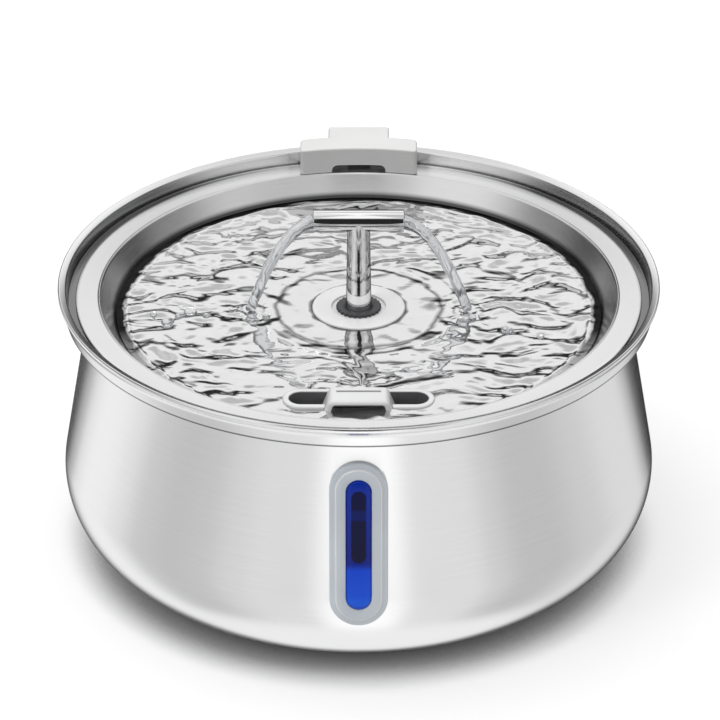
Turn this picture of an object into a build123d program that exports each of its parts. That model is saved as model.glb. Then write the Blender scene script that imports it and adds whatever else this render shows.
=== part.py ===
from build123d import *
import os
from math import asin, cos, degrees, radians, sin, sqrt, tan

# Pet water fountain. Sizes are in millimetres, Z is up, and the floor is z = 0.
# The origin is the centre of the base; the level window looks along -Y and the lead clip sits at +Y.

# Clearances
gap = 0.3              # between pieces that lift off or slide past each other
running = 0.05         # radial clearance of shafts, spigots and rings that turn or slide in a bore
through = 5.0          # how far a cutting tool runs past the face that it cuts
over = 1.0             # the same where a neighbour stands close
bite = 0.5             # how far a rib or lug sinks into the piece it grows from

# Basin: a drawn steel pot with a flared wall, a round belly and a rolled lip
foot_height = 1.2
basin_sheet = 0.8
belly_inset = 0.2      # widest part of the belly inside the lip's edge
belly_round = 35.0
wall_lean = 9.73       # degrees from upright, narrower at the top
wall_crown = 0.1       # how far the drawn wall bulges between its ends
wall_bands = 3         # flat bands that make up the bulge
lip_height = 121.0
lip_radius = 125.0
lip_top_width = 4.0
lip_top_fall = 1.4     # the lip's top slopes down inwards
lip_skirt_taper = 3.0  # the skirt's lower edge stands this far inside the lip's edge
lip_skirt_drop = 9.6
lip_round = 1.0
seat_lean = 0.2        # the seat round the tray narrows this much down to the ledge
seat_depth = 7.0       # from the lip's top down to the ledge that carries the tray
rear_lip_parts = 4     # short lengths that make up the lip behind the clip
rear_lip_margin = 3.6  # degrees that they run on past each end of the clip

# Foot ring under the basin
foot_outer_radius = 86.0
foot_ring_width = 9.0

# Level window on the front wall; lengths run up the wall
bezel_foot = 31.75     # lower end of the bezel above the floor
bezel_below_lip = 21.15
bezel_width = 23.3
bezel_proud = 2.5
bezel_band = 2.4       # width of the bezel's lower outer band
bezel_step = 0.9
bezel_edge = 0.7
lens_width = 9.7
lens_end_margin = 7.2  # from the end of the bezel to the end of the lens
lens_proud = 2.1
lens_depth = 7.0       # from the wall's face inwards
lens_face = 1.6
lens_flange = 0.9
pocket_width = 6.3
pocket_end = 4.0       # solid plastic above the pocket
pocket_foot = 19.7     # solid plastic below the pocket
spigot_wall = 3.4
spigot_depth = 4.0
gasket_inset = 0.6
gasket_thickness = 0.8
backplate_thickness = 1.8
window_screw_radius = 0.9
window_screw_head = 2.0
window_screw_length = 5.0
screw_head_height = 1.4

# Tray: flat flange, conical wall, flat moat and a raised centre
tray_sheet = 0.8
tray_play = 3.2        # round the tray inside the seat
tray_edge_roll = 0.8
flange_width = 10.3
bead_height = 0.4
bead_width = 1.0
tray_wall_lean = 35.6  # degrees from upright
tray_depth = 18.5      # moat floor below the lip's top
step_radius = 44.0
step_slope = 3.0
step_depth = 17.2
centre_radius = 35.0
centre_slope = 2.0
centre_depth = 16.0
lead_notch_width = 10.0
lead_notch_reach = 8.0

# Drain in the front of the moat
drain_inset = 30.6      # from the bowl's upper edge in to the middle of the drain
collar_length = 61.0
collar_width = 15.2
collar_rim = 2.5
collar_height = 5.0    # above the moat floor
collar_round = 0.9
collar_spigot_wall = 1.3
collar_spigot = 3.0    # below the tray
hood_top_width = 23.8
hood_foot_width = 30.3
hood_reach = 9.3       # from the middle of the drain to the hood's front
hood_start = 2.5       # and to its back
hood_height = 8.2
hood_wall = 1.5
hood_round = 1.8
hood_slot_length = 17.8
hood_slot_width = 1.3
hood_slot_inset = 3.1

# Centre fitting, its washer and nut, and the knurled grommet
disc_radius = 19.4
disc_thickness = 2.3
hub_radius = 12.0
hub_length = 12.0      # below the tray's upper face
recess_radius = 11.3
recess_depth = 1.0
spigot_radius = 4.45
spigot_length = 10.0
water_bore = 3.0       # radius of the water way from the fitting to the crossbar
seat_step = 2.0        # floor of the hub under the stem's plug
washer_radius = 18.0
washer_thickness = 1.5
nut_radius = 17.5
nut_height = 5.0
nut_lobes = 12
grommet_radius = 9.4
grommet_flange = 1.3
grommet_neck_radius = 8.0
grommet_neck = 3.0
knurls = 26
knurl_depth = 0.5

# Spout: a tapered stem and an open crossbar
stem_foot_radius = 5.3
stem_top_radius = 4.65
stem_plug_radius = 5.0
crossbar_height = 147.3
crossbar_radius = 4.55
crossbar_wall = 0.8
crossbar_length = 37.3
ring_thickness = 1.5
ring_spacing = 3.4
ring_inset = 1.2       # from the plug's end to the first ring
ring_count = 2
ring_stretch = 0.9     # how far a stem ring stands out of its groove

# Pump cage on the basin's floor
cage_radius = 42.0
cage_wall = 1.8
cage_floor_height = 5.5
cage_floor = 1.8
cage_height = 60.0
cage_slots = 20
cage_slot_width = 3.2
cage_slot_bottom = 14.0
cage_slot_height = 25.0
cage_ledge_width = 2.2
cage_ledge = 2.0
cup_radius = 7.0
cup_tread = 2.1        # width of the rim that touches the basin
cup_circle = 30.0
cup_stud_radius = 2.0
cup_head_radius = 3.0
cup_head = 1.4
cup_count = 4

# Twist-lock lid and filter cartridge
lid_thickness = 2.4
lid_skirt = 5.0
lid_slots = 16
lid_slot_width = 3.0
lid_slot_inner = 16.0
lid_slot_outer = 35.5
lug_count = 3
lug_angle = 14.0       # degrees of arc
lug_height = 2.2
lug_drop = 1.6         # from the lid's seat down to the lug
lug_play = 0.6         # degrees of play at each end of a lug's slot
twist_angle = 20.0     # degrees from locked to open
filter_height = 9.0
filter_wall = 1.4
filter_floor = 1.4
filter_hub_radius = 9.4
filter_spokes = 8
filter_spoke_width = 2.4
pad_clearance = 0.4

# Pump: motor block behind, impeller chamber in front, outlet straight up
pump_axis_height = 24.0
chamber_radius = 12.3
chamber_depth = 9.0
chamber_wall = 2.4
motor_width = 32.0
motor_length = 26.0
motor_height = 32.4
motor_round = 3.0
well_radius = 6.8
well_length = 19.0
outlet_radius = 4.5
outlet_bore = 3.0
outlet_top = 49.0
cover_thickness = 3.0
seal_radius = 13.4
seal_width = 0.9
inlet_slot_width = 2.0
inlet_slot_height = 12.0
inlet_slot_places = (-8.5, -5.0, 5.0, 8.5)
bush_radius = 2.4
bush_length = 2.6
bush_wall = 0.6
shaft_radius = 1.0
magnet_radius = 6.2
magnet_length = 18.0
wheel_radius = 11.3
wheel_hub_radius = 3.0
wheel_disc = 1.0
wheel_blades = 6
blade_thickness = 1.2
slider_width = 9.0
slider_height = 18.2
slider_thickness = 1.5
slider_place = 5.6     # right of the pump's axis when the inlet is open
slider_nub = 3.2
rail_thickness = 1.5
rail_lip = 1.4
rail_length = 21.0
light_radius = 2.5
light_height = 1.8
light_place = (9.0, 22.0)
riser_wall = 1.5
sponge_width = 32.0
sponge_depth = 14.0
sponge_height = 29.0
sponge_round = 3.0

# Lead clip over the back of the rim
clip_play = 0.8        # between the clip's back and the seat
clip_depth = 11.5
clip_width = 51.4
clip_rise = 6.0        # above the lip
clip_corner = 3.0
clip_wall = 1.7
clip_edge = 0.8
tab_width = 26.8
tab_length = 10.0      # beyond the back of the clip's body
tab_drop = 12.0        # below the lip's top
tab_corner = 1.5
arch_width = 23.6
arch_height = 3.3
arch_round = 2.4
hook_thickness = 1.6
hook_gap = 25.0
clip_screw_place = 18.5
clip_boss_radius = 2.9
clip_screw_radius = 1.0
clip_screw_head = 1.9
clip_screw_length = 6.0
gland_radius = 1.9
gland_flange_radius = 2.3
gland_flange = 0.8
gland_bore = 1.35
tab_roof = 1.0

# Heights and radii that follow from the sizes above
basin_floor = foot_height + basin_sheet
belly_centre_radius = lip_radius - belly_inset - belly_round
seat_radius = lip_radius - lip_top_width - seat_lean
lip_skirt_radius = lip_radius - lip_skirt_taper
tray_radius = seat_radius - tray_play
bowl_radius = tray_radius - flange_width
drain_offset = bowl_radius - drain_inset
hood_front = drain_offset + hood_reach
hood_back = drain_offset - hood_start
clip_back_radius = seat_radius - clip_play
clip_front_radius = clip_back_radius - clip_depth
rear_lip_reach = degrees(asin(clip_width / 2 / clip_back_radius)) + rear_lip_margin
tab_reach = clip_back_radius + tab_length
tab_foot = lip_height + gap
belly_centre_height = foot_height + belly_round
ledge_height = lip_height - seat_depth
tray_flange_top = ledge_height + gap + tray_sheet
moat_floor = lip_height - tray_depth
centre_floor = lip_height - centre_depth
disc_top = centre_floor + disc_thickness
hub_bottom = centre_floor - hub_length
plug_top = disc_top - recess_depth - grommet_neck
plug_bottom = hub_bottom + seat_step + gap
pump_floor = cage_floor_height + cage_floor
chamber_front = -chamber_depth / 2
chamber_back = chamber_depth / 2
cover_front = chamber_front - cover_thickness
ledge_top = cage_height - lid_skirt - gap - filter_height
clip_top = lip_height + clip_rise
clip_foot = tray_flange_top + gap
gland_height = (tab_foot + clip_top - tab_roof) / 2
window_height = (bezel_foot + lip_height - bezel_below_lip) / 2
bezel_length = (lip_height - bezel_below_lip - bezel_foot) / cos(radians(wall_lean))
bezel_step_width = bezel_width - 2 * bezel_band
bezel_step_length = bezel_length - 2 * bezel_band
lens_length = bezel_length - 2 * lens_end_margin
pocket_length = lens_length - pocket_end - pocket_foot
spigot_width = lens_width + 2 * gap + 2 * spigot_wall
spigot_length_up = lens_length + 2 * gap + 2 * spigot_wall
opening_width = spigot_width + 2 * gap
opening_length = spigot_length_up + 2 * gap
window_screw_offset = (lens_length + 2 * lens_flange + spigot_length_up) / 4
collar_hole_length = collar_length - 2 * collar_rim
collar_hole_width = collar_width - 2 * collar_rim
drain_hole_length = collar_hole_length + 2 * (collar_spigot_wall + gap)
drain_hole_width = collar_hole_width + 2 * (collar_spigot_wall + gap)
lug_low = cage_height - lug_drop - lug_height
riser_radius = outlet_radius + riser_wall
motor_top = pump_floor + motor_height
bush_rear_front = chamber_back + well_length


def outline(points):
    """Closed straight-sided face through the points."""
    return make_face(Polyline(*points, close=True))


def turned(points):
    """Solid of revolution about Z from a section given as (radius, height)."""
    return revolve(Plane.XZ * outline(points), Axis.Z)


def tube(outer, inner, low, high):
    """Upright tube about Z."""
    return turned([(inner, low), (outer, low), (outer, high), (inner, high)])


def peg(radius, low, high):
    """Upright solid cylinder about Z."""
    return turned([(0, low), (radius, low), (radius, high), (0, high)])


def along_y(radius, start, end, height):
    """Cylinder along Y at the given height, from y = start to y = end."""
    return extrude(Plane((0, start, height), z_dir=(0, 1, 0)) * Circle(radius), end - start)


def stadium(length, width, upright=False):
    """Slot-shaped face with round ends."""
    face = SlotOverall(length, width)
    return Rot(0, 0, 90) * face if upright else face


def block(x_low, x_high, y_low, y_high, z_low, z_high):
    """Box between two corners."""
    centre = ((x_low + x_high) / 2, (y_low + y_high) / 2, (z_low + z_high) / 2)
    return Pos(*centre) * Box(x_high - x_low, y_high - y_low, z_high - z_low)


# ---------------------------------------------------------------- basin

def wall_radius(height):
    """Outer radius of the basin's straight wall at a height."""
    lean = radians(wall_lean)
    tangent_radius = belly_centre_radius + belly_round * cos(lean)
    tangent_height = belly_centre_height + belly_round * sin(lean)
    return tangent_radius - (height - tangent_height) * tan(lean)


def basin_solid(inset):
    """Filled pot up to the lip's height, inside the basin's outer face by the inset."""
    lean = radians(wall_lean)
    across = inset / cos(lean)
    low = foot_height + inset
    belly = CenterArc((belly_centre_radius, belly_centre_height), belly_round - inset, -90, 90 + wall_lean)
    wall_foot = belly_centre_height + belly_round * sin(lean)
    wall_end = ledge_height - basin_sheet
    bands = []
    for band in range(1, wall_bands + 1):
        share = band / wall_bands
        height = wall_foot + (wall_end - wall_foot) * share
        bulge = 4 * wall_crown * share * (1 - share)
        bands.append((wall_radius(height) - across + bulge, height))
    base = Line((0, low), (belly_centre_radius, low))
    rim = (wall_radius(lip_height) - across, lip_height)
    upper = Polyline(belly @ 1, *bands, rim, (0, lip_height), (0, low))
    return revolve(Plane.XZ * make_face(base + belly + upper), Axis.Z)


def basin_shell():
    """Steel pot with the ledge for the tray and the window opening."""
    ledge_under = ledge_height - basin_sheet
    across = basin_sheet / cos(radians(wall_lean))
    pot = (basin_solid(0) - basin_solid(basin_sheet)) & peg(lip_radius, 0, ledge_under)
    ledge = turned([
        (wall_radius(ledge_height) - across, ledge_height),
        (wall_radius(ledge_under) - across, ledge_under),
        (seat_radius + basin_sheet, ledge_under),
        (seat_radius + basin_sheet, ledge_height),
    ])
    opening = extrude(window_plane * stadium(opening_length, opening_width, True), through, both=True)
    return pot + ledge - opening


def lip_section():
    """Section of the rolled lip: seat wall, sloping top and skirt."""
    skirt_bottom = lip_height - lip_skirt_drop
    skirt_inner = seat_radius + basin_sheet
    return Plane.XZ * outline([
        (seat_radius, ledge_height),
        (skirt_inner, ledge_height),
        (skirt_inner, skirt_bottom),
        (lip_skirt_radius, skirt_bottom),
        (lip_radius, lip_height - lip_round),
        (lip_radius - lip_round, lip_height),
        (lip_radius - lip_top_width, lip_height - lip_top_fall),
    ])


def basin_lip():
    """Rolled lip round the ledge, up to both ends of the stretch behind the clip."""
    start = 90 + rear_lip_reach
    return Rot(0, 0, start) * revolve(lip_section(), Axis.Z, 360 - 2 * rear_lip_reach)


def rear_lip():
    """The stretch of the lip behind the clip, in short lengths that touch."""
    step = 2 * rear_lip_reach / rear_lip_parts
    starts = [90 - rear_lip_reach + step * part for part in range(rear_lip_parts)]
    return [Rot(0, 0, start) * revolve(lip_section(), Axis.Z, step) for start in starts]


def foot_ring():
    """Rubber ring with a shallow groove in its tread."""
    inner = foot_outer_radius - foot_ring_width
    groove = foot_height / 3
    middle = (foot_outer_radius + inner) / 2
    half = foot_ring_width / 6
    return turned([
        (inner, 0), (middle - half, 0), (middle - half, groove), (middle + half, groove),
        (middle + half, 0), (foot_outer_radius, 0), (foot_outer_radius, foot_height), (inner, foot_height),
    ])


# ---------------------------------------------------------------- level window

window_plane = Plane(
    origin=(0, -wall_radius(window_height), window_height),
    x_dir=(1, 0, 0),
    z_dir=(0, -cos(radians(wall_lean)), sin(radians(wall_lean))),
)


def window_prism(face, low, high):
    """Face extruded square to the wall, from low to high outside the wall's face."""
    return extrude(window_plane.offset(low) * face, high - low)


def window_gasket():
    """Seal that follows the wall under the bezel's edge."""
    ring = stadium(bezel_length - 2 * gasket_inset, bezel_width - 2 * gasket_inset, True)
    ring -= stadium(opening_length, opening_width, True)
    layer = window_prism(ring, -through, bezel_proud)
    return (layer & basin_solid(-gasket_thickness)) - basin_solid(0)


def window_bezel():
    """Stepped frame outside the wall with a spigot through it."""
    lower = window_prism(stadium(bezel_length, bezel_width, True), -through, bezel_proud - bezel_step)
    rim = lower.faces().sort_by(Axis(window_plane.origin, window_plane.z_dir))[-1].edges()
    lower = chamfer(rim, bezel_edge)
    lower -= basin_solid(-gasket_thickness)
    upper = window_prism(stadium(bezel_step_length, bezel_step_width, True),
                         bezel_proud - bezel_step, bezel_proud)
    spigot = window_prism(stadium(spigot_length_up, spigot_width, True), -spigot_depth,
                          bezel_proud - bezel_step)
    frame = lower + upper + spigot
    frame -= window_prism(stadium(lens_length + 2 * gap, lens_width + 2 * gap, True),
                          -through, bezel_proud + through)
    for side in (-1, 1):
        hole = Pos(0, side * window_screw_offset) * Circle(window_screw_radius + running)
        frame -= window_prism(hole, -spigot_depth, -spigot_depth + window_screw_length)
    return frame


def window_lens():
    """Clear plug with a pocket in its upper back and a flange behind the spigot."""
    lens = window_prism(stadium(lens_length, lens_width, True), -lens_depth, lens_proud)
    lens += window_prism(stadium(lens_length + lens_flange * 2, lens_width + lens_flange * 2, True),
                         -spigot_depth - gap - lens_flange, -spigot_depth - gap)
    pocket_centre = (lens_length - pocket_length) / 2 - pocket_end
    pocket = Pos(0, pocket_centre) * stadium(pocket_length, pocket_width, True)
    return lens - window_prism(pocket, -lens_depth, lens_proud - lens_face)


def window_backplate():
    """Clamp plate behind the opening, held by a screw at each end."""
    low = -spigot_depth - gap - lens_flange - backplate_thickness
    plate = window_prism(stadium(bezel_length, bezel_width, True), low, low + backplate_thickness)
    plate -= window_prism(stadium(lens_length + 2 * gap, lens_width + 2 * gap, True), low, 0)
    rim_depth = -low - basin_sheet
    ring = stadium(bezel_length, bezel_width, True) - stadium(opening_length, opening_width, True)
    rim = window_prism(ring, low + backplate_thickness, 0) & basin_solid(basin_sheet + gap)
    plate += rim
    for side in (-1, 1):
        hole = Pos(0, side * window_screw_offset) * Circle(window_screw_radius + gap)
        plate -= window_prism(hole, low, low + rim_depth)
    return plate


def window_screws():
    """Two pan-head screws, heads inside the basin."""
    head_face = -spigot_depth - gap - lens_flange - backplate_thickness
    screws = []
    for side in (-1, 1):
        place = Pos(0, side * window_screw_offset)
        shank = window_prism(place * Circle(window_screw_radius), head_face,
                             -spigot_depth + window_screw_length - gap)
        head = window_prism(place * Circle(window_screw_head), head_face - screw_head_height, head_face)
        screws.append(shank + head)
    return screws


# ---------------------------------------------------------------- tray

def tray_pan():
    """Pressed tray with its rolled edge, bead, steps, holes and lead notch."""
    slope = tan(radians(tray_wall_lean))
    wall_top = tray_flange_top
    floor_radius = bowl_radius - (wall_top - moat_floor) * slope
    hole = hub_radius + gap
    upper = [
        (hole, centre_floor),
        (centre_radius - centre_slope, centre_floor),
        (centre_radius, lip_height - step_depth),
        (step_radius - step_slope, lip_height - step_depth),
        (step_radius, moat_floor),
        (floor_radius, moat_floor),
        (bowl_radius, wall_top),
        (bowl_radius + bead_width / 2, wall_top + bead_height),
        (bowl_radius + bead_width, wall_top),
        (tray_radius - tray_edge_roll, wall_top),
        (tray_radius, wall_top - tray_edge_roll / 2),
    ]
    side_shift = tray_sheet / cos(radians(tray_wall_lean))
    lower = [
        (tray_radius, wall_top - tray_sheet),
        (bowl_radius + side_shift, wall_top - tray_sheet),
        (floor_radius + side_shift / 2, moat_floor - tray_sheet),
        (step_radius - tray_sheet / 2, moat_floor - tray_sheet),
        (step_radius - step_slope - tray_sheet / 2, lip_height - step_depth - tray_sheet),
        (centre_radius - tray_sheet / 2, lip_height - step_depth - tray_sheet),
        (centre_radius - centre_slope - tray_sheet / 2, centre_floor - tray_sheet),
        (hole, centre_floor - tray_sheet),
    ]
    pan = turned(upper + lower)
    slot = Pos(0, -drain_offset) * stadium(drain_hole_length, drain_hole_width)
    pan -= extrude(Plane.XY.offset(moat_floor - through) * slot, 2 * through)
    notch_inner = tray_radius - lead_notch_reach
    pan -= block(-lead_notch_width / 2, lead_notch_width / 2, notch_inner, tray_radius + through,
                 wall_top - through, wall_top + through)
    return pan


def hood_section(inset, height):
    """Trapezoid of the hood seen from the front, drawn inwards by the inset."""
    top = hood_top_width / 2 - inset
    foot = hood_foot_width / 2 - inset
    return [(-foot, moat_floor), (foot, moat_floor), (top, moat_floor + height), (-top, moat_floor + height)]


def hood_prism(inset, height, back, front):
    """Hood section carried from the back to the front distance from the axis."""
    plane = Plane((0, -back, 0), x_dir=(1, 0, 0), z_dir=(0, -1, 0))
    return extrude(plane * outline(hood_section(inset, height)), front - back)


def drain_collar():
    """Raised ring round the drain with a spigot through the tray."""
    top = moat_floor + collar_height
    place = Pos(0, -drain_offset)
    rim = extrude(Plane.XY.offset(moat_floor) * place * stadium(collar_length, collar_width), collar_height)
    rim = fillet(rim.faces().sort_by(Axis.Z)[-1].edges(), collar_round)
    spigot_face = stadium(collar_hole_length + 2 * collar_spigot_wall,
                          collar_hole_width + 2 * collar_spigot_wall)
    bottom = moat_floor - tray_sheet - collar_spigot
    spigot = extrude(Plane.XY.offset(bottom) * place * spigot_face, moat_floor - bottom)
    hole = place * stadium(collar_hole_length, collar_hole_width)
    collar = rim + spigot - extrude(Plane.XY.offset(bottom) * hole, top - bottom)
    return collar - hood_prism(-gap, hood_height + gap, drain_offset, hood_front + through)


def drain_hood():
    """Bridge over the drain: open in front, slotted on top, standing on the moat floor."""
    body = hood_prism(0, hood_height, hood_back, hood_front)
    shoulders = body.edges().filter_by(Axis.Y).group_by(Axis.Z)[-1]
    front_top = body.edges().filter_by(Axis.X).group_by(Axis.Z)[-1].sort_by(Axis.Y)[0]
    body = fillet(shoulders + [front_top], hood_round)
    body -= hood_prism(hood_wall, hood_height - hood_wall, hood_back + hood_wall, hood_front + through)
    drop = block(-hood_foot_width / 2 + hood_wall, hood_foot_width / 2 - hood_wall, -hood_front,
                 -hood_back - hood_wall, moat_floor - through, moat_floor)
    body -= drop
    slot_y = -hood_back - hood_slot_inset
    slot = Pos(0, slot_y) * Rectangle(hood_slot_length, hood_slot_width)
    return body - extrude(Plane.XY.offset(moat_floor + hood_height - through) * slot, 2 * through)


def centre_fitting():
    """White disc, threaded hub through the tray and the spigot that plugs into the riser."""
    ring_bore = stem_plug_radius + ring_stretch + running
    seat = hub_bottom + seat_step
    body = turned([
        (water_bore, hub_bottom - spigot_length),
        (spigot_radius, hub_bottom - spigot_length),
        (spigot_radius, hub_bottom),
        (hub_radius, hub_bottom),
        (hub_radius, centre_floor),
        (disc_radius, centre_floor),
        (disc_radius, disc_top - recess_depth / 2),
        (disc_radius - recess_depth / 2, disc_top),
        (recess_radius, disc_top),
        (recess_radius, disc_top - recess_depth),
        (grommet_neck_radius + gap / 2, disc_top - recess_depth),
        (grommet_neck_radius + gap / 2, disc_top - recess_depth - grommet_neck),
        (ring_bore, disc_top - recess_depth - grommet_neck),
        (ring_bore, seat),
        (water_bore, seat),
    ])
    return body


def fitting_gasket():
    top = centre_floor - tray_sheet
    return tube(washer_radius, hub_radius + gap, top - washer_thickness, top)


def fitting_nut():
    """Lobed nut on the hub under the washer."""
    top = centre_floor - tray_sheet - washer_thickness
    nut = tube(nut_radius, hub_radius + running, top - nut_height, top)
    scallop = Pos(nut_radius + over, 0, top - nut_height / 2) * Cylinder(nut_height / 2, nut_height)
    return nut - [Rot(0, 0, 360 / nut_lobes * turn) * scallop for turn in range(nut_lobes)]


def spout_grommet():
    """Soft ring round the stem with a knurled flange."""
    flange_low = disc_top - recess_depth
    bore = stem_foot_radius + running
    flange = tube(grommet_radius, bore, flange_low, flange_low + grommet_flange)
    neck = tube(grommet_neck_radius, bore, flange_low - grommet_neck, flange_low)
    tooth = Pos(grommet_radius, 0, flange_low + grommet_flange / 2) * Box(
        2 * knurl_depth, 2 * knurl_depth, 2 * grommet_flange)
    grooves = [Rot(0, 0, 360 / knurls * turn) * tooth for turn in range(knurls)]
    return flange + neck - grooves


# ---------------------------------------------------------------- spout

def ring_heights():
    """Lower edge of each ring groove on the stem's plug."""
    return [plug_bottom + ring_inset + ring_spacing * place for place in range(ring_count)]


def crossbar_bar(radius):
    """Solid bar of the crossbar's length along X."""
    plane = Plane((-crossbar_length / 2, 0, crossbar_height), z_dir=(1, 0, 0))
    return extrude(plane * Circle(radius), crossbar_length)


def spout_stem():
    """Tapered tube with a plug below the disc and a groove for each ring."""
    stem = turned([
        (water_bore, plug_bottom), (stem_plug_radius, plug_bottom), (stem_plug_radius, plug_top),
        (stem_foot_radius, plug_top), (stem_foot_radius, disc_top), (stem_top_radius, crossbar_height),
        (water_bore, crossbar_height),
    ])
    for height in ring_heights():
        stem -= tube(stem_plug_radius + through, stem_plug_radius - ring_stretch,
                     height - running, height + ring_thickness + running)
    return stem - crossbar_bar(crossbar_radius)


def spout_crossbar():
    """Open tube with a water hole over the stem."""
    bar = crossbar_bar(crossbar_radius) - crossbar_bar(crossbar_radius - crossbar_wall)
    return bar - peg(water_bore, crossbar_height - 2 * crossbar_radius, crossbar_height)


def stem_rings():
    """Rings in the stem's grooves, narrower at their sealing edge."""
    inner = stem_plug_radius - ring_stretch + running
    outer = stem_plug_radius + ring_stretch
    corner = ring_thickness / 4
    rings = []
    for height in ring_heights():
        top = height + ring_thickness
        rings.append(turned([(inner, height), (outer, height + corner), (outer, top - corner), (inner, top)]))
    return rings


# ---------------------------------------------------------------- pump cage, lid and filter

def cup_places():
    """Centres of the suction cups, between the cage's axes."""
    return [Rot(0, 0, 360 / cup_count * (turn + 0.5)) * Pos(cup_circle, 0) for turn in range(cup_count)]


def pump_housing():
    """Round cage wall with slots, a filter ledge and slots for the lid's lugs."""
    inner = cage_radius - cage_wall
    cage = turned([
        (inner, cage_floor_height), (cage_radius, cage_floor_height), (cage_radius, cage_height),
        (inner, cage_height), (inner, ledge_top), (inner - cage_ledge_width, ledge_top),
        (inner, ledge_top - cage_ledge - cage_ledge_width),
    ])
    window = block(inner - over, cage_radius + over, -cage_slot_width / 2, cage_slot_width / 2,
                   cage_slot_bottom, cage_slot_bottom + cage_slot_height)
    cage -= [Rot(0, 0, 360 / cage_slots * turn) * window for turn in range(cage_slots)]
    travel = arc_solid(inner - over, cage_radius + over, lug_low - gap, lug_low + lug_height + gap,
                       -lug_angle / 2 - lug_play, lug_angle / 2 + twist_angle + lug_play)
    entry = arc_solid(inner - over, cage_radius + over, lug_low - gap, cage_height + over,
                      -lug_angle / 2 + twist_angle - lug_play, lug_angle / 2 + twist_angle + lug_play)
    for turn in range(lug_count):
        cage -= Rot(0, 0, 360 / lug_count * turn) * (travel + entry)
    return cage


def housing_floor():
    """Flat floor of the cage with a hole for each cup's stud."""
    floor = peg(cage_radius - cage_wall, cage_floor_height, pump_floor)
    hole = peg(cup_stud_radius + running, cage_floor_height - over, pump_floor + over)
    return floor - [place * hole for place in cup_places()]


def arc_solid(inner, outer, low, high, start, end):
    """Part of a ring about Z between two angles in degrees."""
    section = Plane.XZ * outline([(inner, low), (outer, low), (outer, high), (inner, high)])
    return Rot(0, 0, start) * revolve(section, Axis.Z, end - start)


def suction_cups():
    """Cups with a stud snapped through the cage's floor."""
    dome = cage_floor_height - basin_floor
    cup = turned([
        (0, basin_floor + dome / 2), (cup_radius - cup_tread, basin_floor), (cup_radius, basin_floor),
        (cup_radius, basin_floor + dome / 8), (cup_stud_radius, cage_floor_height),
        (cup_stud_radius, pump_floor), (cup_head_radius, pump_floor),
        (cup_stud_radius, pump_floor + cup_head), (0, pump_floor + cup_head),
    ])
    return [place * cup for place in cup_places()]


def housing_lid():
    """Slotted disc with a skirt inside the cage and three lugs."""
    skirt_outer = cage_radius - cage_wall - gap
    skirt_inner = skirt_outer - cage_wall
    hole = riser_radius + gap
    seat = cage_height + gap / 2
    lid = turned([
        (hole, seat), (skirt_inner, seat),
        (skirt_inner, seat - lid_skirt), (skirt_outer, seat - lid_skirt),
        (skirt_outer, seat), (cage_radius, seat),
        (cage_radius, seat + lid_thickness), (hole, seat + lid_thickness),
    ])
    slot = block(lid_slot_inner, lid_slot_outer, -lid_slot_width / 2, lid_slot_width / 2,
                 seat - over, seat + lid_thickness + over)
    lid -= [Rot(0, 0, 360 / lid_slots * turn) * slot for turn in range(lid_slots)]
    lug = arc_solid(skirt_outer - bite, cage_radius - gap, lug_low, lug_low + lug_height,
                    -lug_angle / 2, lug_angle / 2)
    return lid + [Rot(0, 0, 360 / lug_count * turn) * lug for turn in range(lug_count)]


def filter_outer():
    return cage_radius - cage_wall - gap


def filter_frame():
    """Open tray with a spoked floor and a hub round the riser."""
    outer = filter_outer()
    top = ledge_top + filter_height
    wall = tube(outer, outer - filter_wall, ledge_top, top)
    hub = tube(filter_hub_radius, filter_hub_radius - filter_wall, ledge_top, top)
    spoke = block(filter_hub_radius - bite, outer - filter_wall + bite, -filter_spoke_width / 2,
                  filter_spoke_width / 2, ledge_top, ledge_top + filter_floor)
    turns = [360 / filter_spokes * (turn + 0.5) for turn in range(filter_spokes)]
    return wall + hub + [Rot(0, 0, angle) * spoke for angle in turns]


def filter_pad():
    """Layered filter disc that fills the frame."""
    return tube(filter_outer() - filter_wall - pad_clearance, filter_hub_radius + pad_clearance,
                ledge_top + filter_floor, ledge_top + filter_height)


# ---------------------------------------------------------------- pump

def pump_body():
    """Motor block, impeller chamber, magnet well and upright outlet."""
    motor = block(-motor_width / 2, motor_width / 2, chamber_back, chamber_back + motor_length,
                  pump_floor, motor_top)
    motor = fillet(motor.edges().filter_by(Axis.Y), motor_round)
    chamber = along_y(chamber_radius + chamber_wall, chamber_front, chamber_back, pump_axis_height)
    outlet = peg(outlet_radius, pump_axis_height, outlet_top)
    body = motor + chamber + outlet
    body -= along_y(chamber_radius, chamber_front, chamber_back, pump_axis_height)
    body -= along_y(well_radius, chamber_back, chamber_back + well_length, pump_axis_height)
    well_end = chamber_back + well_length
    body -= along_y(bush_radius, well_end, well_end + bush_length, pump_axis_height)
    body -= peg(outlet_bore, pump_axis_height, outlet_top)
    groove = ring_along_y(seal_radius + seal_width / 2, seal_radius - seal_width / 2,
                          chamber_front, chamber_front + seal_width)
    return body - groove


def ring_along_y(outer, inner, start, end):
    """Flat ring round the pump's axis."""
    return along_y(outer, start, end, pump_axis_height) - along_y(inner, start, end, pump_axis_height)


def cover_seal():
    return ring_along_y(seal_radius + seal_width / 2, seal_radius - seal_width / 2,
                        chamber_front, chamber_front + seal_width)


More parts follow.
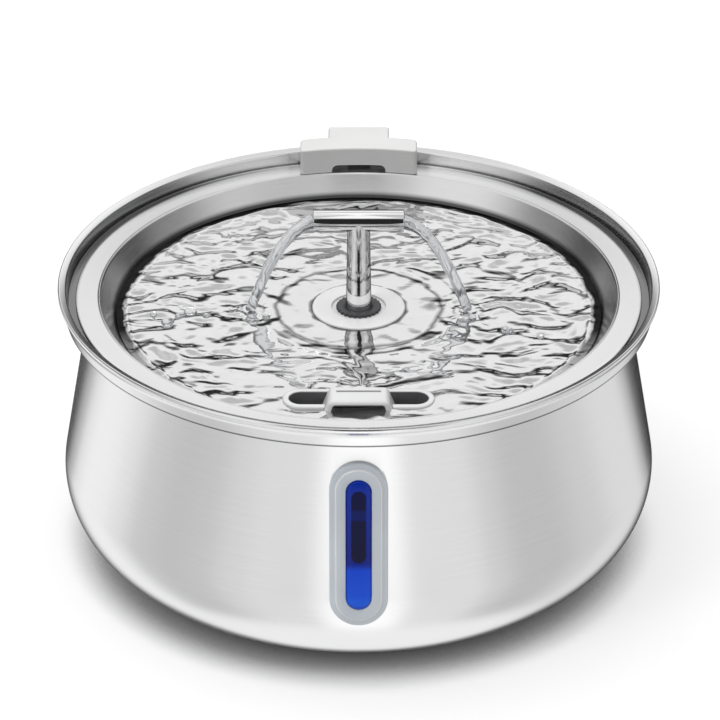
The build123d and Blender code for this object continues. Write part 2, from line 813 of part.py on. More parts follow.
def pump_cover():
    """Disc with inlet slots, a bush pocket and two rails for the slider."""
    cover = along_y(chamber_radius + chamber_wall, cover_front, chamber_front, pump_axis_height)
    cover -= along_y(bush_radius, chamber_front - bush_length + gap, chamber_front, pump_axis_height)
    for place in inlet_slot_places:
        cover -= block(place - inlet_slot_width / 2, place + inlet_slot_width / 2, cover_front - over,
                       chamber_front + over, pump_axis_height - inlet_slot_height / 2,
                       pump_axis_height + inlet_slot_height / 2)
    inner = slider_height / 2 + gap
    rail_front = cover_front - slider_thickness - 2 * gap - rail_thickness
    for side in (-1, 1):
        web = sorted((pump_axis_height + side * inner, pump_axis_height + side * (inner + rail_thickness)))
        lip = sorted((pump_axis_height + side * (inner - rail_lip), pump_axis_height + side * inner))
        half = rail_length / 2
        cover += block(-half, half, rail_front, cover_front, *web)
        cover += block(-half, half, rail_front, rail_front + rail_thickness, *lip)
    return cover


def flow_slider():
    """Plate with a finger nub that slides over the inlet slots."""
    back = cover_front - gap
    front = back - slider_thickness
    low = slider_place - slider_width / 2
    plate = block(low, low + slider_width, front, back, pump_axis_height - slider_height / 2,
                  pump_axis_height + slider_height / 2)
    nub = block(slider_place - slider_nub / 2, slider_place + slider_nub / 2, front - slider_nub, front,
                pump_axis_height - slider_nub, pump_axis_height + slider_nub)
    nub = fillet(nub.edges().filter_by(Axis.Z).group_by(Axis.Y)[0], slider_nub / 4)
    return plate + nub


def shaft_bushes():
    """Rubber cups that hold the ends of the shaft."""
    front_start = chamber_front - bush_length + gap
    front = along_y(bush_radius, front_start, front_start + bush_length, pump_axis_height)
    front -= along_y(shaft_radius, front_start + bush_wall, front_start + bush_length, pump_axis_height)
    rear = along_y(bush_radius, bush_rear_front, bush_rear_front + bush_length, pump_axis_height)
    rear_end = bush_rear_front + bush_length - bush_wall
    rear -= along_y(shaft_radius, bush_rear_front, rear_end, pump_axis_height)
    return [front, rear]


def impeller_shaft():
    """Fixed ceramic pin between the bushes."""
    start = chamber_front - bush_length + gap + bush_wall
    end = bush_rear_front + bush_length - bush_wall
    return along_y(shaft_radius, start, end, pump_axis_height)


def impeller_magnet():
    bore = shaft_radius + running
    start = chamber_back + gap
    return ring_along_y(magnet_radius, bore, start, start + magnet_length)


def impeller_wheel():
    """Straight-bladed wheel in front of the magnet."""
    bore = shaft_radius + running
    back = chamber_back - gap
    front = chamber_front + 2 * gap
    disc = along_y(wheel_radius, back - wheel_disc, back, pump_axis_height)
    hub = along_y(wheel_hub_radius, front, chamber_back + gap, pump_axis_height)
    blade = block(0, wheel_radius, front, back - wheel_disc, -blade_thickness / 2, blade_thickness / 2)
    wheel = disc + hub
    for turn in range(wheel_blades):
        wheel += Pos(0, 0, pump_axis_height) * Rot(0, 360 / wheel_blades * turn, 0) * blade
    return wheel - along_y(bore, front - over, chamber_back + over, pump_axis_height)


def pump_light():
    """Small lamp cap on top of the motor block."""
    place = Pos(*light_place)
    return place * turned([
        (0, motor_top), (light_radius, motor_top), (light_radius, motor_top + light_height / 2),
        (light_radius / 2, motor_top + light_height), (0, motor_top + light_height),
    ])


def riser_tube():
    """Silicone tube from the pump's outlet up to the tray's spigot."""
    top = hub_bottom - gap
    return tube(riser_radius, outlet_radius, motor_top + gap, top)


def sponge_filter():
    """Sponge block between the slider and the cage."""
    back = cover_front - slider_thickness - slider_nub - 3 * gap
    sponge = block(-sponge_width / 2, sponge_width / 2, back - sponge_depth, back,
                   pump_floor, pump_floor + sponge_height)
    return fillet(sponge.edges().filter_by(Axis.Y), sponge_round)


# ---------------------------------------------------------------- lead clip

def ring_sector(inner, outer, width, round_corners):
    """Plan of a curved bar at the back of the rim."""
    face = (Circle(outer) - Circle(inner)) & (Pos(0, (inner + outer) / 2) * Rectangle(width, outer))
    face = face.faces().sort_by(Axis.Y)[-1]
    return fillet(face.vertices(), round_corners)


def clip_tab_plan():
    """Plan of the rear tab, from inside the clip's body to the tab's end."""
    plan = Pos(0, (clip_back_radius + tab_reach) / 2 - clip_wall) * Rectangle(
        tab_width, tab_reach - clip_back_radius + 2 * clip_wall)
    return fillet(plan.vertices().group_by(Axis.Y)[-1], tab_corner)


def clip_moulding():
    """Body with an arched mouth, open underneath, and the channel of the tab over the rim."""
    body_plan = ring_sector(clip_front_radius, clip_back_radius, clip_width, clip_corner)
    body = extrude(Plane.XY.offset(clip_foot) * body_plan, clip_top - clip_foot)
    tab = extrude(Plane.XY.offset(tab_foot) * clip_tab_plan(), clip_top - tab_foot)
    cover = body + tab
    cover = fillet(cover.faces().sort_by(Axis.Z)[-1].edges(), clip_edge)
    hollow_plan = ring_sector(clip_front_radius + clip_wall, clip_back_radius - clip_wall,
                              clip_width - 2 * clip_wall, clip_corner - clip_wall)
    cover -= extrude(Plane.XY.offset(clip_foot - over) * hollow_plan, clip_top - clip_wall - clip_foot + over)
    channel = tab_width / 2 - clip_wall
    cover -= block(-channel, channel, clip_back_radius - through, tab_reach - clip_wall,
                   lip_height, clip_top - tab_roof)
    arch_plane = Plane((0, clip_front_radius - through, 0), x_dir=(1, 0, 0), z_dir=(0, -1, 0))
    arch = Pos(0, clip_foot + arch_height / 2 - through / 2) * Rectangle(arch_width, arch_height + through)
    arch = fillet(arch.vertices().group_by(Axis.Y)[-1], arch_round)
    cover -= extrude(arch_plane * arch, -2 * through)
    for side in (-1, 1):
        boss = tube(clip_boss_radius, clip_screw_radius + running,
                    clip_foot + hook_thickness, clip_top - clip_wall)
        cover += Pos(side * clip_screw_place, clip_middle_radius()) * boss
    gland_axis = Plane((0, tab_reach - clip_wall - over, gland_height), z_dir=(0, 1, 0))
    return cover - extrude(gland_axis * Circle(gland_radius), clip_wall + 2 * over)


def clip_cover():
    """Body of the clip, inside the seat."""
    return clip_moulding() & peg(clip_back_radius, clip_foot - over, clip_top + over)


def clip_tab():
    """Channel over the rim, with the hole for the gland."""
    return clip_moulding() - peg(clip_back_radius, clip_foot - over, clip_top + over)


def clip_apron():
    """Lower end of the tab, behind the lip."""
    back = lip_radius + gap
    low = lip_height - tab_drop
    apron = extrude(Plane.XY.offset(low) * clip_tab_plan(), tab_foot - low)
    return apron - block(-tab_width, tab_width, 0, back, low - over, tab_foot + over)


def clip_middle_radius():
    """Distance of the clip screws from the fountain's axis, along Y."""
    middle = (clip_front_radius + clip_back_radius) / 2
    return sqrt(middle ** 2 - clip_screw_place ** 2)


def clip_hook():
    """Flat U inside the cover's foot, open towards the bowl for the lead."""
    inset = clip_wall + running
    plan = ring_sector(clip_front_radius + inset, clip_back_radius - inset, clip_width - 2 * inset,
                       clip_corner - clip_wall)
    plate = extrude(Plane.XY.offset(clip_foot) * plan, hook_thickness)
    plate -= block(-hook_gap / 2, hook_gap / 2, 0, clip_back_radius - inset - 2 * hook_thickness,
                   clip_foot - over, clip_foot + hook_thickness + over)
    for side in (-1, 1):
        hole = peg(clip_screw_radius + gap, clip_foot - over, clip_foot + hook_thickness + over)
        hole += peg(clip_screw_head + running, clip_foot - over, clip_foot + hook_thickness / 2)
        plate -= Pos(side * clip_screw_place, clip_middle_radius()) * hole
    return plate


def clip_screws():
    """Two screws from under the hook into the bosses of the cover, heads flush."""
    screws = []
    for side in (-1, 1):
        place = Pos(side * clip_screw_place, clip_middle_radius())
        shank = peg(clip_screw_radius, clip_foot + hook_thickness / 2, clip_foot + clip_screw_length)
        head = peg(clip_screw_head, clip_foot, clip_foot + hook_thickness / 2)
        screws.append(place * (shank + head))
    return screws


def lead_gland():
    """Silicone bush in the tab's rear wall, with a flange each side."""
    inside = tab_reach - clip_wall
    bush = Plane((0, inside - gland_flange, gland_height), z_dir=(0, 1, 0))
    length = clip_wall + 2 * gland_flange
    gland = extrude(bush * Circle(gland_radius), length)
    gland += extrude(bush * Circle(gland_flange_radius), gland_flange)
    gland += extrude(bush.offset(clip_wall + gland_flange) * Circle(gland_flange_radius), gland_flange)
    return gland - extrude(bush.offset(-over) * Circle(gland_bore), length + 2 * over)


nodes = {
    "basin_shell": basin_shell,
    "basin_lip": basin_lip,
    "rear_lip": rear_lip,
    "foot_ring": foot_ring,
    "window_gasket": window_gasket,
    "window_bezel": window_bezel,
    "window_lens": window_lens,
    "window_backplate": window_backplate,
    "window_screws": window_screws,
    "pump_housing": pump_housing,
    "housing_floor": housing_floor,
    "suction_cups": suction_cups,
    "housing_lid": housing_lid,
    "filter_frame": filter_frame,
    "filter_pad": filter_pad,
    "pump_body": pump_body,
    "cover_seal": cover_seal,
    "pump_cover": pump_cover,
    "flow_slider": flow_slider,
    "shaft_bushes": shaft_bushes,
    "impeller_shaft": impeller_shaft,
    "impeller_magnet": impeller_magnet,
    "impeller_wheel": impeller_wheel,
    "pump_light": pump_light,
    "riser_tube": riser_tube,
    "sponge_filter": sponge_filter,
    "tray_pan": tray_pan,
    "drain_collar": drain_collar,
    "drain_hood": drain_hood,
    "centre_fitting": centre_fitting,
    "fitting_gasket": fitting_gasket,
    "fitting_nut": fitting_nut,
    "spout_grommet": spout_grommet,
    "spout_stem": spout_stem,
    "spout_crossbar": spout_crossbar,
    "stem_rings": stem_rings,
    "clip_cover": clip_cover,
    "clip_tab": clip_tab,
    "clip_apron": clip_apron,
    "clip_hook": clip_hook,
    "clip_screws": clip_screws,
    "lead_gland": lead_gland,
}

os.makedirs("parts", exist_ok=True)
for name, build in nodes.items():
    piece = build()
    pieces = piece if isinstance(piece, list) else [piece]
    solids = [solid for item in pieces for solid in item.solids()]
    export_step(Compound(solids), f"parts/{name}.step")
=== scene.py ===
from random import Random
from math import asin, atan2, cos, exp, hypot, pi, radians, sin, sqrt, tan

import bpy
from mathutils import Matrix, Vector, noise


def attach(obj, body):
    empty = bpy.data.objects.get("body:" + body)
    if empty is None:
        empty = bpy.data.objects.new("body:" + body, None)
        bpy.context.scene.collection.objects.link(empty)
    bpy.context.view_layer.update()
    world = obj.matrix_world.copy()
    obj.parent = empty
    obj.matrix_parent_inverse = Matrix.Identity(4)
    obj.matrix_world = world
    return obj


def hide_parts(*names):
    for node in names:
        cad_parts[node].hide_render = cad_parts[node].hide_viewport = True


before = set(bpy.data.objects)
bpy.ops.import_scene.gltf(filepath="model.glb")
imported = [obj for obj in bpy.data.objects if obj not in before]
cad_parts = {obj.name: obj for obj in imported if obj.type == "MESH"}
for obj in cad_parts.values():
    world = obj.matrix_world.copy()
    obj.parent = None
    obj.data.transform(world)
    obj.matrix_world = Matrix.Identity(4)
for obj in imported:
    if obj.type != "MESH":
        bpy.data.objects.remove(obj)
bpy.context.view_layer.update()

# Pet water fountain. Lengths are written in millimetres and multiplied by MM where Blender takes metres.
# The window looks along -Y, the lead clip sits at +Y, and the floor is at z = 0.
MM = 0.001


# ---------------------------------------------------------------- studio
# A pale floor under a white surround, with dark and grey flags for the steel and the water to mirror, one wide soft
# lamp overhead, a smaller one at the left, and the camera.

def feed(tree, made, values):
    """Gives a node's inputs their values, and links those whose value is a socket."""
    for name, value in values.items():
        if isinstance(value, bpy.types.NodeSocket):
            tree.links.new(value, made.inputs[name])
        else:
            made.inputs[name].default_value = value


def node(tree, kind, values=None, **settings):
    """New shader node with its settings and the values of its inputs."""
    made = tree.nodes.new(kind)
    for name, value in settings.items():
        setattr(made, name, value)
    feed(tree, made, values or {})
    return made


def maths(tree, operation, first, second=0.0, clamp=False):
    """Math node whose inputs are sockets or numbers; gives its output socket."""
    return node(tree, "ShaderNodeMath", {0: first, 1: second}, operation=operation, use_clamp=clamp).outputs[0]


def ramp(tree, factor, stops, smooth="EASE"):
    """Colour ramp through (place, grey or colour) stops."""
    made = node(tree, "ShaderNodeValToRGB", {0: factor})
    made.color_ramp.interpolation = smooth
    marks = made.color_ramp.elements
    while len(marks) < len(stops):
        marks.new(1.0)
    for mark, (place, tone) in zip(marks, stops):
        mark.position = place
        mark.color = (tone, tone, tone, 1) if isinstance(tone, (int, float)) else (*tone, 1)
    return made.outputs[0]


def stretched(tree, value, low=0.0, high=1.0, to_low=0.0, to_high=1.0):
    """Moves a value from one range to another, held at the ends; gives its output socket."""
    return node(tree, "ShaderNodeMapRange", {"Value": value, "From Min": low, "From Max": high, "To Min": to_low,
                                             "To Max": to_high}).outputs[0]


def blended(tree, factor, first, second, blend="MIX"):
    """Mix of two colours that are sockets or greys; gives its output socket."""
    first, second = ((tone, tone, tone, 1) if isinstance(tone, (int, float)) else tone for tone in (first, second))
    return node(tree, "ShaderNodeMix", {"Factor": factor, "A": first, "B": second}, data_type="RGBA",
                blend_type=blend).outputs["Result"]


def mixed_shader(tree, factor, first, second):
    """Mix of two shaders; gives its output socket."""
    return node(tree, "ShaderNodeMixShader", {0: factor, 1: first, 2: second}).outputs[0]


def mirrored_rays(tree):
    """Whether a ray is mirrored or refracted."""
    path = node(tree, "ShaderNodeLightPath").outputs
    return maths(tree, "MAXIMUM", path["Is Glossy Ray"], path["Is Transmission Ray"])


world = bpy.data.worlds.new("studio")
bpy.context.scene.world = world
world.use_nodes = True
sky = world.node_tree
sky.nodes.clear()
way = node(sky, "ShaderNodeSeparateXYZ", {0: node(sky, "ShaderNodeTexCoord").outputs["Generated"]}).outputs
# A direction is told by its turn round the fountain, 0 in front and 1 at the back, and by the sine of its height.
turn = maths(sky, "ARCTAN2", maths(sky, "ABSOLUTE", way["X"]), maths(sky, "MULTIPLY", way["Y"], -1.0))
turn = maths(sky, "DIVIDE", turn, pi)
height = way["Z"]
right = maths(sky, "GREATER_THAN", way["X"], 0.0)
# Above the horizon a dark post stands in front, with a lower screen on both sides of it; pale flags stand beyond
# them, the right one darker, and the room is dark low at the sides and the back.
post = ramp(sky, height, [(0.0, 0.02), (0.66, 0.02), (0.80, 1.0)])
screen = ramp(sky, height, [(0.0, 0.05), (0.28, 0.10), (0.42, 0.65), (0.66, 0.60)])
in_front = blended(sky, ramp(sky, turn, [(0.055, 0.0), (0.085, 1.0)]), post, screen)
high = ramp(sky, height, [(0.50, 0.0), (0.58, 1.0)])
flag = blended(sky, high, blended(sky, right, 0.95, 0.85), blended(sky, right, 0.80, 0.52))
front_half = blended(sky, ramp(sky, turn, [(0.13, 0.0), (0.20, 1.0)]), in_front, flag)
side = ramp(sky, height, [(0.0, 0.03), (0.40, 0.08), (0.56, 0.40), (0.75, 0.80)])
front_and_side = blended(sky, ramp(sky, turn, [(0.30, 0.0), (0.50, 1.0)]), front_half, side)
far_side = ramp(sky, height, [(0.0, 0.02), (0.34, 0.02), (0.46, 0.40), (0.60, 0.75), (0.78, 0.85)])
all_sides = blended(sky, ramp(sky, turn, [(0.50, 0.0), (0.64, 1.0)]), front_and_side, far_side)
back_half = ramp(sky, height, [(0.0, 0.02), (0.24, 0.03), (0.34, 0.26), (0.40, 0.55), (0.46, 1.04), (0.65, 1.12),
                               (0.80, 0.70), (0.91, 0.70), (0.95, 1.1)])
above = blended(sky, ramp(sky, turn, [(0.86, 0.0), (0.93, 1.0)]), all_sides, back_half)
# Below it the pot mirrors a white table with a soft grey lane on either side, the foot of the post in front, and
# darkness behind.
left_lanes = ramp(sky, turn, [(0.0, 1.18), (0.05, 1.12), (0.12, 0.80), (0.20, 0.79), (0.27, 0.72), (0.34, 0.61),
                              (0.42, 0.58), (0.50, 0.64), (0.58, 0.84), (0.64, 0.95), (0.72, 0.97), (0.78, 0.85),
                              (0.83, 0.45), (0.90, 0.05)])
right_lanes = ramp(sky, turn, [(0.0, 1.18), (0.06, 1.14), (0.13, 0.82), (0.24, 0.80), (0.29, 0.68), (0.36, 0.57),
                               (0.43, 0.57), (0.55, 0.67), (0.66, 0.78), (0.76, 0.78), (0.81, 0.50), (0.86, 0.10),
                               (0.92, 0.0)])
lanes = blended(sky, right, left_lanes, right_lanes)
depth = maths(sky, "MULTIPLY", height, -1.0)
table = blended(sky, ramp(sky, depth, [(0.80, 0.0), (0.92, 1.0)]), lanes, 0.95)
foot_of_post = maths(sky, "MULTIPLY", ramp(sky, turn, [(0.035, 1.0), (0.06, 0.0)]),
                     ramp(sky, depth, [(0.18, 1.0), (0.24, 0.0)]))
below = blended(sky, foot_of_post, table, 0.02)
flags = blended(sky, ramp(sky, depth, [(0.01, 0.0), (0.03, 1.0)]), above, below)
# What isn't mirrored is lit from above, and little from near the horizon, so that the foot stands in a close shadow.
daylight = ramp(sky, height, [(0.12, 0.10), (0.40, 0.45), (0.60, 0.92), (1.0, 0.95)])
seen = blended(sky, mirrored_rays(sky), daylight, flags)
backdrop = blended(sky, node(sky, "ShaderNodeLightPath").outputs["Is Camera Ray"], seen, 1.0)
surround = node(sky, "ShaderNodeBackground", {"Color": backdrop})
node(sky, "ShaderNodeOutputWorld", {0: surround.outputs[0]})

floor_size = 6.0
bpy.ops.object.select_all(action="DESELECT")
bpy.ops.mesh.primitive_plane_add(size=floor_size)
floor = bpy.context.object
floor.name = "studio_floor"
# The floor takes the shadow, and a shade painted into its colour from an occlusion node deepens it close to the pot;
# what mirrors or refracts looks through it into the surround. A part of its white is its own, so that the rest of the
# floor runs into the backdrop.
floor_look = bpy.data.materials.new("studio_floor")
floor_look.use_nodes = True
ground = floor_look.node_tree
ground.nodes.clear()
closeness = node(ground, "ShaderNodeAmbientOcclusion", {"Distance": 0.02}, samples=8).outputs["AO"]
close_shade = ramp(ground, closeness, [(0.0, 0.02), (0.30, 0.22), (0.60, 0.75), (0.85, 1.0)])
paper_share, own_share = 0.64, 0.40
paper = node(ground, "ShaderNodeBsdfDiffuse", {"Color": blended(ground, 1.0, close_shade, paper_share, "MULTIPLY")})
own_white = maths(ground, "MULTIPLY", maths(ground, "MULTIPLY", close_shade, own_share),
                  node(ground, "ShaderNodeLightPath").outputs["Is Camera Ray"])
lift = node(ground, "ShaderNodeEmission", {"Strength": own_white})
lit_paper = node(ground, "ShaderNodeAddShader", {0: paper.outputs[0], 1: lift.outputs[0]})
chosen = mixed_shader(ground, mirrored_rays(ground), lit_paper.outputs[0],
                      node(ground, "ShaderNodeBsdfTransparent").outputs[0])
node(ground, "ShaderNodeOutputMaterial", {0: chosen})
floor.data.materials.append(floor_look)


def add_object(name, data):
    """New object in the scene for a mesh, a curve, a lamp or a camera."""
    added = bpy.data.objects.new(name, data)
    bpy.context.scene.collection.objects.link(added)
    return added


def soft_lamp(name, place, size, power):
    """Soft round lamp aimed at the middle of the fountain; steel and water don't mirror it."""
    lamp = bpy.data.lights.new(name, "AREA")
    lamp.shape = "DISK"
    lamp.size = size
    lamp.energy = power
    hung = add_object(name, lamp)
    hung.location = place
    hung.visible_glossy = False
    hung.rotation_euler = (Vector((0, 0, 0.06)) - Vector(place)).to_track_quat("-Z", "Y").to_euler()


soft_lamp("lamp_overhead", (-0.15, 0.10, 1.30), 0.9, 5.0)
soft_lamp("lamp_left", (-0.95, -0.75, 1.05), 0.5, 3.0)

camera_data = bpy.data.cameras.new("camera")
camera = add_object("camera", camera_data)
camera.location = (0, -1.3765, 0.8603)
look_down = 0.515
camera.rotation_euler = (pi / 2 - look_down, 0, 0)
camera_data.lens = 187.96
camera_data.shift_x = 0.0018
camera_data.clip_end = 20.0
bpy.context.scene.camera = camera
bpy.context.scene.view_settings.view_transform = "Standard"


# ---------------------------------------------------------------- basin
# Deep-drawn stainless pot: flat base, round belly, straight wall that leans in towards the rolled lip, and a ledge
# inside the lip for the tray. Satin finish, brushed round the pot.

def rounded(corners, steps=6):
    """Section through (radius, height, softening) corners; each corner is softened over that length each way."""
    points = []
    for place, (x, z, soft) in enumerate(corners):
        here = Vector((x, z))
        before = Vector(corners[place - 1][:2])
        after = Vector(corners[(place + 1) % len(corners)][:2])
        if soft == 0:
            points.append(here)
            continue
        start = here + (before - here).normalized() * soft
        end = here + (after - here).normalized() * soft
        for step in range(steps + 1):
            share = step / steps
            points.append(start.lerp(here, share).lerp(here.lerp(end, share), share))
    return points


def take(piece):
    """Makes a piece the active one and the only one selected."""
    bpy.ops.object.select_all(action="DESELECT")
    bpy.context.view_layer.objects.active = piece
    piece.select_set(True)


def finish_mesh(piece, smooth_angle=40):
    """Merges doubles, turns the faces outwards and smooths what bends less than the angle."""
    take(piece)
    bpy.ops.object.mode_set(mode="EDIT")
    bpy.ops.mesh.select_all(action="SELECT")
    bpy.ops.mesh.remove_doubles(threshold=0.000002)
    bpy.ops.mesh.normals_make_consistent(inside=False)
    bpy.ops.object.mode_set(mode="OBJECT")
    bpy.ops.object.shade_smooth_by_angle(angle=radians(smooth_angle))


def turned(name, section, turns=256, solid=False):
    """Ring with the closed section of (radius, height) points, or a solid capped at its first and last point."""
    bpy.ops.object.select_all(action="DESELECT")
    radius, height = section[0]
    bpy.ops.mesh.primitive_circle_add(vertices=turns, radius=radius * MM, location=(0, 0, height * MM),
                                      rotation=(0, 0, pi / turns), fill_type="NGON" if solid else "NOTHING")
    piece = bpy.context.object
    piece.name = piece.data.name = name
    bpy.ops.object.transform_apply(location=True, rotation=True, scale=False)
    bpy.ops.object.mode_set(mode="EDIT")
    bpy.ops.mesh.select_all(action="SELECT")
    for wider, higher in section[1:] if solid else section[1:] + section[:1]:
        bpy.ops.mesh.extrude_region_move(TRANSFORM_OT_translate={"value": (0, 0, (higher - height) * MM)})
        bpy.ops.transform.resize(value=(wider / radius, wider / radius, 1), center_override=(0, 0, 0))
        radius, height = wider, higher
    bpy.ops.object.mode_set(mode="OBJECT")
    finish_mesh(piece)
    return piece


def cut(piece, tool, operation="DIFFERENCE"):
    """Boolean with a tool, which is used up."""
    take(piece)
    change = piece.modifiers.new("cut", "BOOLEAN")
    change.operation = operation
    change.solver = "EXACT"
    change.object = tool
    bpy.ops.object.modifier_apply(modifier=change.name)
    bpy.data.objects.remove(tool)


def principled(name, colour, roughness, metallic=0.0):
    """Material with its tree and its shader."""
    look = bpy.data.materials.new(name)
    look.use_nodes = True
    tree = look.node_tree
    shader = tree.nodes["Principled BSDF"]
    feed(tree, shader, {"Base Color": (*colour, 1), "Roughness": roughness, "Metallic": metallic})
    return look, tree, shader


def object_place(tree):
    """Where a point lies on its piece: the place, its X, Y and Z, the place on the XY plane and its distance from Z."""
    whole = node(tree, "ShaderNodeTexCoord").outputs["Object"]
    parts = node(tree, "ShaderNodeSeparateXYZ", {0: whole}).outputs
    flat = node(tree, "ShaderNodeCombineXYZ", {"X": parts["X"], "Y": parts["Y"]}).outputs[0]
    out = node(tree, "ShaderNodeVectorMath", {0: flat}, operation="LENGTH").outputs["Value"]
    return whole, parts, flat, out


def grained(tree, place, scale, detail=2.0, **more):
    """Noise over a place; gives its output socket."""
    return node(tree, "ShaderNodeTexNoise", {"Vector": place, "Scale": scale, "Detail": detail, **more}).outputs["Fac"]


def raised(tree, grain, strength, distance=0.0003):
    """Normal of a surface that is raised by a grain."""
    return node(tree, "ShaderNodeBump", {"Height": grain, "Strength": strength, "Distance": distance}).outputs[0]


def brushed_steel(name, colour, roughness, line=0.9, depth=0.05, along=5.0):
    """Steel with fine lines round the Z axis; line is their spacing in mm and along their number round the piece."""
    look, tree, shader = principled(name, colour, roughness, 1.0)
    _, parts, flat, out = object_place(tree)
    way = node(tree, "ShaderNodeVectorMath", {0: flat}, operation="NORMALIZE").outputs[0]
    round_it = node(tree, "ShaderNodeVectorMath", {0: way, "Scale": along}, operation="SCALE").outputs[0]
    round_parts = node(tree, "ShaderNodeSeparateXYZ", {0: round_it}).outputs
    across = maths(tree, "MULTIPLY", maths(tree, "ADD", out, parts["Z"]), 1 / (line * MM))
    grain_place = node(tree, "ShaderNodeCombineXYZ", {"X": round_parts["X"], "Y": round_parts["Y"], "Z": across})
    grain = grained(tree, grain_place.outputs[0], 1.0, 3.0)
    feed(tree, shader, {
        "Normal": raised(tree, grain, depth),
        "Roughness": stretched(tree, grain, to_low=roughness * 0.8, to_high=roughness * 1.25),
        "Base Color": ramp(tree, grain, [(0.3, tuple(part * 0.975 for part in colour)), (0.7, colour)]),
        "Anisotropic": 0.7, "Anisotropic Rotation": 0.25,
        "Tangent": node(tree, "ShaderNodeTangent", direction_type="RADIAL", axis="Z").outputs[0],
    })
    return look


def paint_shade(look, axis, stops, low, high, fade=(900.0, 901.0)):
    """Paints shade into a metal's colour by its distance from the Z axis (axis R) or its height (axis Z), between two
    bounds in mm of the other of the two, fading out between two places along Y; the stops are (mm / 150, tone)."""
    tree = look.node_tree
    shader = tree.nodes["Principled BSDF"]
    before = shader.inputs["Base Color"].links[0].from_socket
    _, parts, _, out = object_place(tree)
    along, other = (out, parts["Z"]) if axis == "R" else (parts["Z"], out)
    tone = ramp(tree, maths(tree, "DIVIDE", along, 150 * MM), stops, "LINEAR")
    within = maths(tree, "MULTIPLY", maths(tree, "GREATER_THAN", other, low * MM),
                   maths(tree, "LESS_THAN", other, high * MM))
    within = maths(tree, "MULTIPLY", within, stretched(tree, parts["Y"], fade[1] * MM, fade[0] * MM))
    feed(tree, shader, {"Base Color": blended(tree, within, before, tone, "MULTIPLY")})


def place(piece, body, slot, look, *replaced):
    """Gives a piece its finish and its body and hides the CAD nodes that it stands for; the slot is not used."""
    piece.data.materials.clear()
    piece.data.materials.append(look)
    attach(piece, body)
    if replaced:
        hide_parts(*replaced)


basin_steel = brushed_steel("satin_steel", (0.90, 0.90, 0.905), 0.19, 0.35, 0.012, 4.0)
# Inside the lip, round the tray, shade is painted into the steel.
paint_shade(basin_steel, "R", [(0.806, 0.25), (0.810, 1.0)], 113.5, 122.0, (92.0, 116.0))
# A thin shadow line is painted along the cut edge under the lip.
paint_shade(basin_steel, "Z", [(0.738, 1.0), (0.740, 0.12), (0.7460, 0.12), (0.7468, 1.0)], 120.8, 124.0)
wall_lean = radians(9.73)
belly_centre, belly_round, base_height, sheet = 89.8, 35.0, 1.2, 0.8


def belly_arc(inset, steps=26):
    """Section of the belly from the base to the straight wall, inside the outer face by the inset."""
    points = []
    for step in range(steps + 1):
        angle = -pi / 2 + (pi / 2 + wall_lean) * step / steps
        points.append(Vector((belly_centre + (belly_round - inset) * cos(angle),
                              base_height + belly_round + (belly_round - inset) * sin(angle))))
    return points


def wall_radius(height):
    """Outer radius of the straight wall at a height."""
    start = belly_arc(0)[-1]
    return start.x - (height - start.y) * tan(wall_lean)


under_ledge = 113.2
ledge = under_ledge + sheet
lip_run = rounded([
    (wall_radius(under_ledge), under_ledge, 0.8), (121.5, under_ledge, 0.3), (121.5, 111.4, 0.25),
    (122.3, 111.4, 0.25), (123.2, 117.0, 1.5), (125.0, 119.6, 0.7), (124.6, 121.0, 0.6), (121.3, 120.0, 0.8),
    (120.8, ledge, 0.3), (wall_radius(ledge) - sheet, ledge, 0.8), (100.0, 60.0, 0.0),
])[:-1]
outside = [Vector((4.0, base_height))] + belly_arc(0)
inside = list(reversed(belly_arc(sheet))) + [Vector((4.0, base_height + sheet))]
pot = turned("basin_pot", outside + lip_run + inside, turns=320, solid=True)


def pick(piece, test, kind="VERT"):
    """Opens a piece for editing with the vertices, edges or faces picked that pass the test, in millimetres."""
    take(piece)
    bpy.ops.object.mode_set(mode="EDIT")
    bpy.ops.mesh.select_mode(type=kind)
    bpy.ops.mesh.select_all(action="DESELECT")
    bpy.ops.object.mode_set(mode="OBJECT")
    mesh = piece.data
    for part in {"VERT": mesh.vertices, "EDGE": mesh.edges, "FACE": mesh.polygons}[kind]:
        if kind == "VERT":
            facts = [part.co / MM]
        elif kind == "EDGE":
            facts = [mesh.vertices[end].co / MM for end in part.vertices]
        else:
            facts = [part.center / MM, part.normal]
        part.select = bool(test(*facts))
    bpy.ops.object.mode_set(mode="EDIT")


def pull_apart(piece, reach, axis=1, between=(0, 1000)):
    """Moves the two halves of a round piece apart, so that it turns into a stadium; only between two radii."""
    for side in (-1, 1):
        pick(piece, lambda point: point[axis] * side > 0 and between[0] < hypot(point.x, point.y) < between[1])
        step = [0, 0, 0]
        step[axis] = side * reach / 2 * MM
        bpy.ops.transform.translate(value=step)
        bpy.ops.object.mode_set(mode="OBJECT")


def stand(piece, place_at, turn_by=(0, 0, 0)):
    """Turns a piece, moves it and makes that its rest place."""
    take(piece)
    piece.location = Vector(place_at) * MM
    piece.rotation_euler = turn_by
    bpy.ops.object.transform_apply(location=True, rotation=True, scale=True)


def box(name, low, high):
    """Block between two corners."""
    bpy.ops.object.select_all(action="DESELECT")
    low, high = Vector(low), Vector(high)
    bpy.ops.mesh.primitive_cube_add(size=1, location=(low + high) / 2 * MM)
    piece = bpy.context.object
    piece.name = piece.data.name = name
    piece.scale = (high - low) * MM
    bpy.ops.object.transform_apply(location=True, rotation=True, scale=True)
    return piece


def soften(piece, width, test, segments=4):
    """Rounds the edges whose two ends pass the test."""
    pick(piece, test, "EDGE")
    bpy.ops.mesh.bevel(offset=width * MM, segments=segments, affect="EDGES")
    bpy.ops.object.mode_set(mode="OBJECT")


def stadium(name, section, reach, axis=1, turns=96, solid=True):
    """Turned piece pulled apart along an axis; the section gives half widths and heights."""
    piece = turned(name, section, turns, solid)
    pull_apart(piece, reach, axis)
    return piece


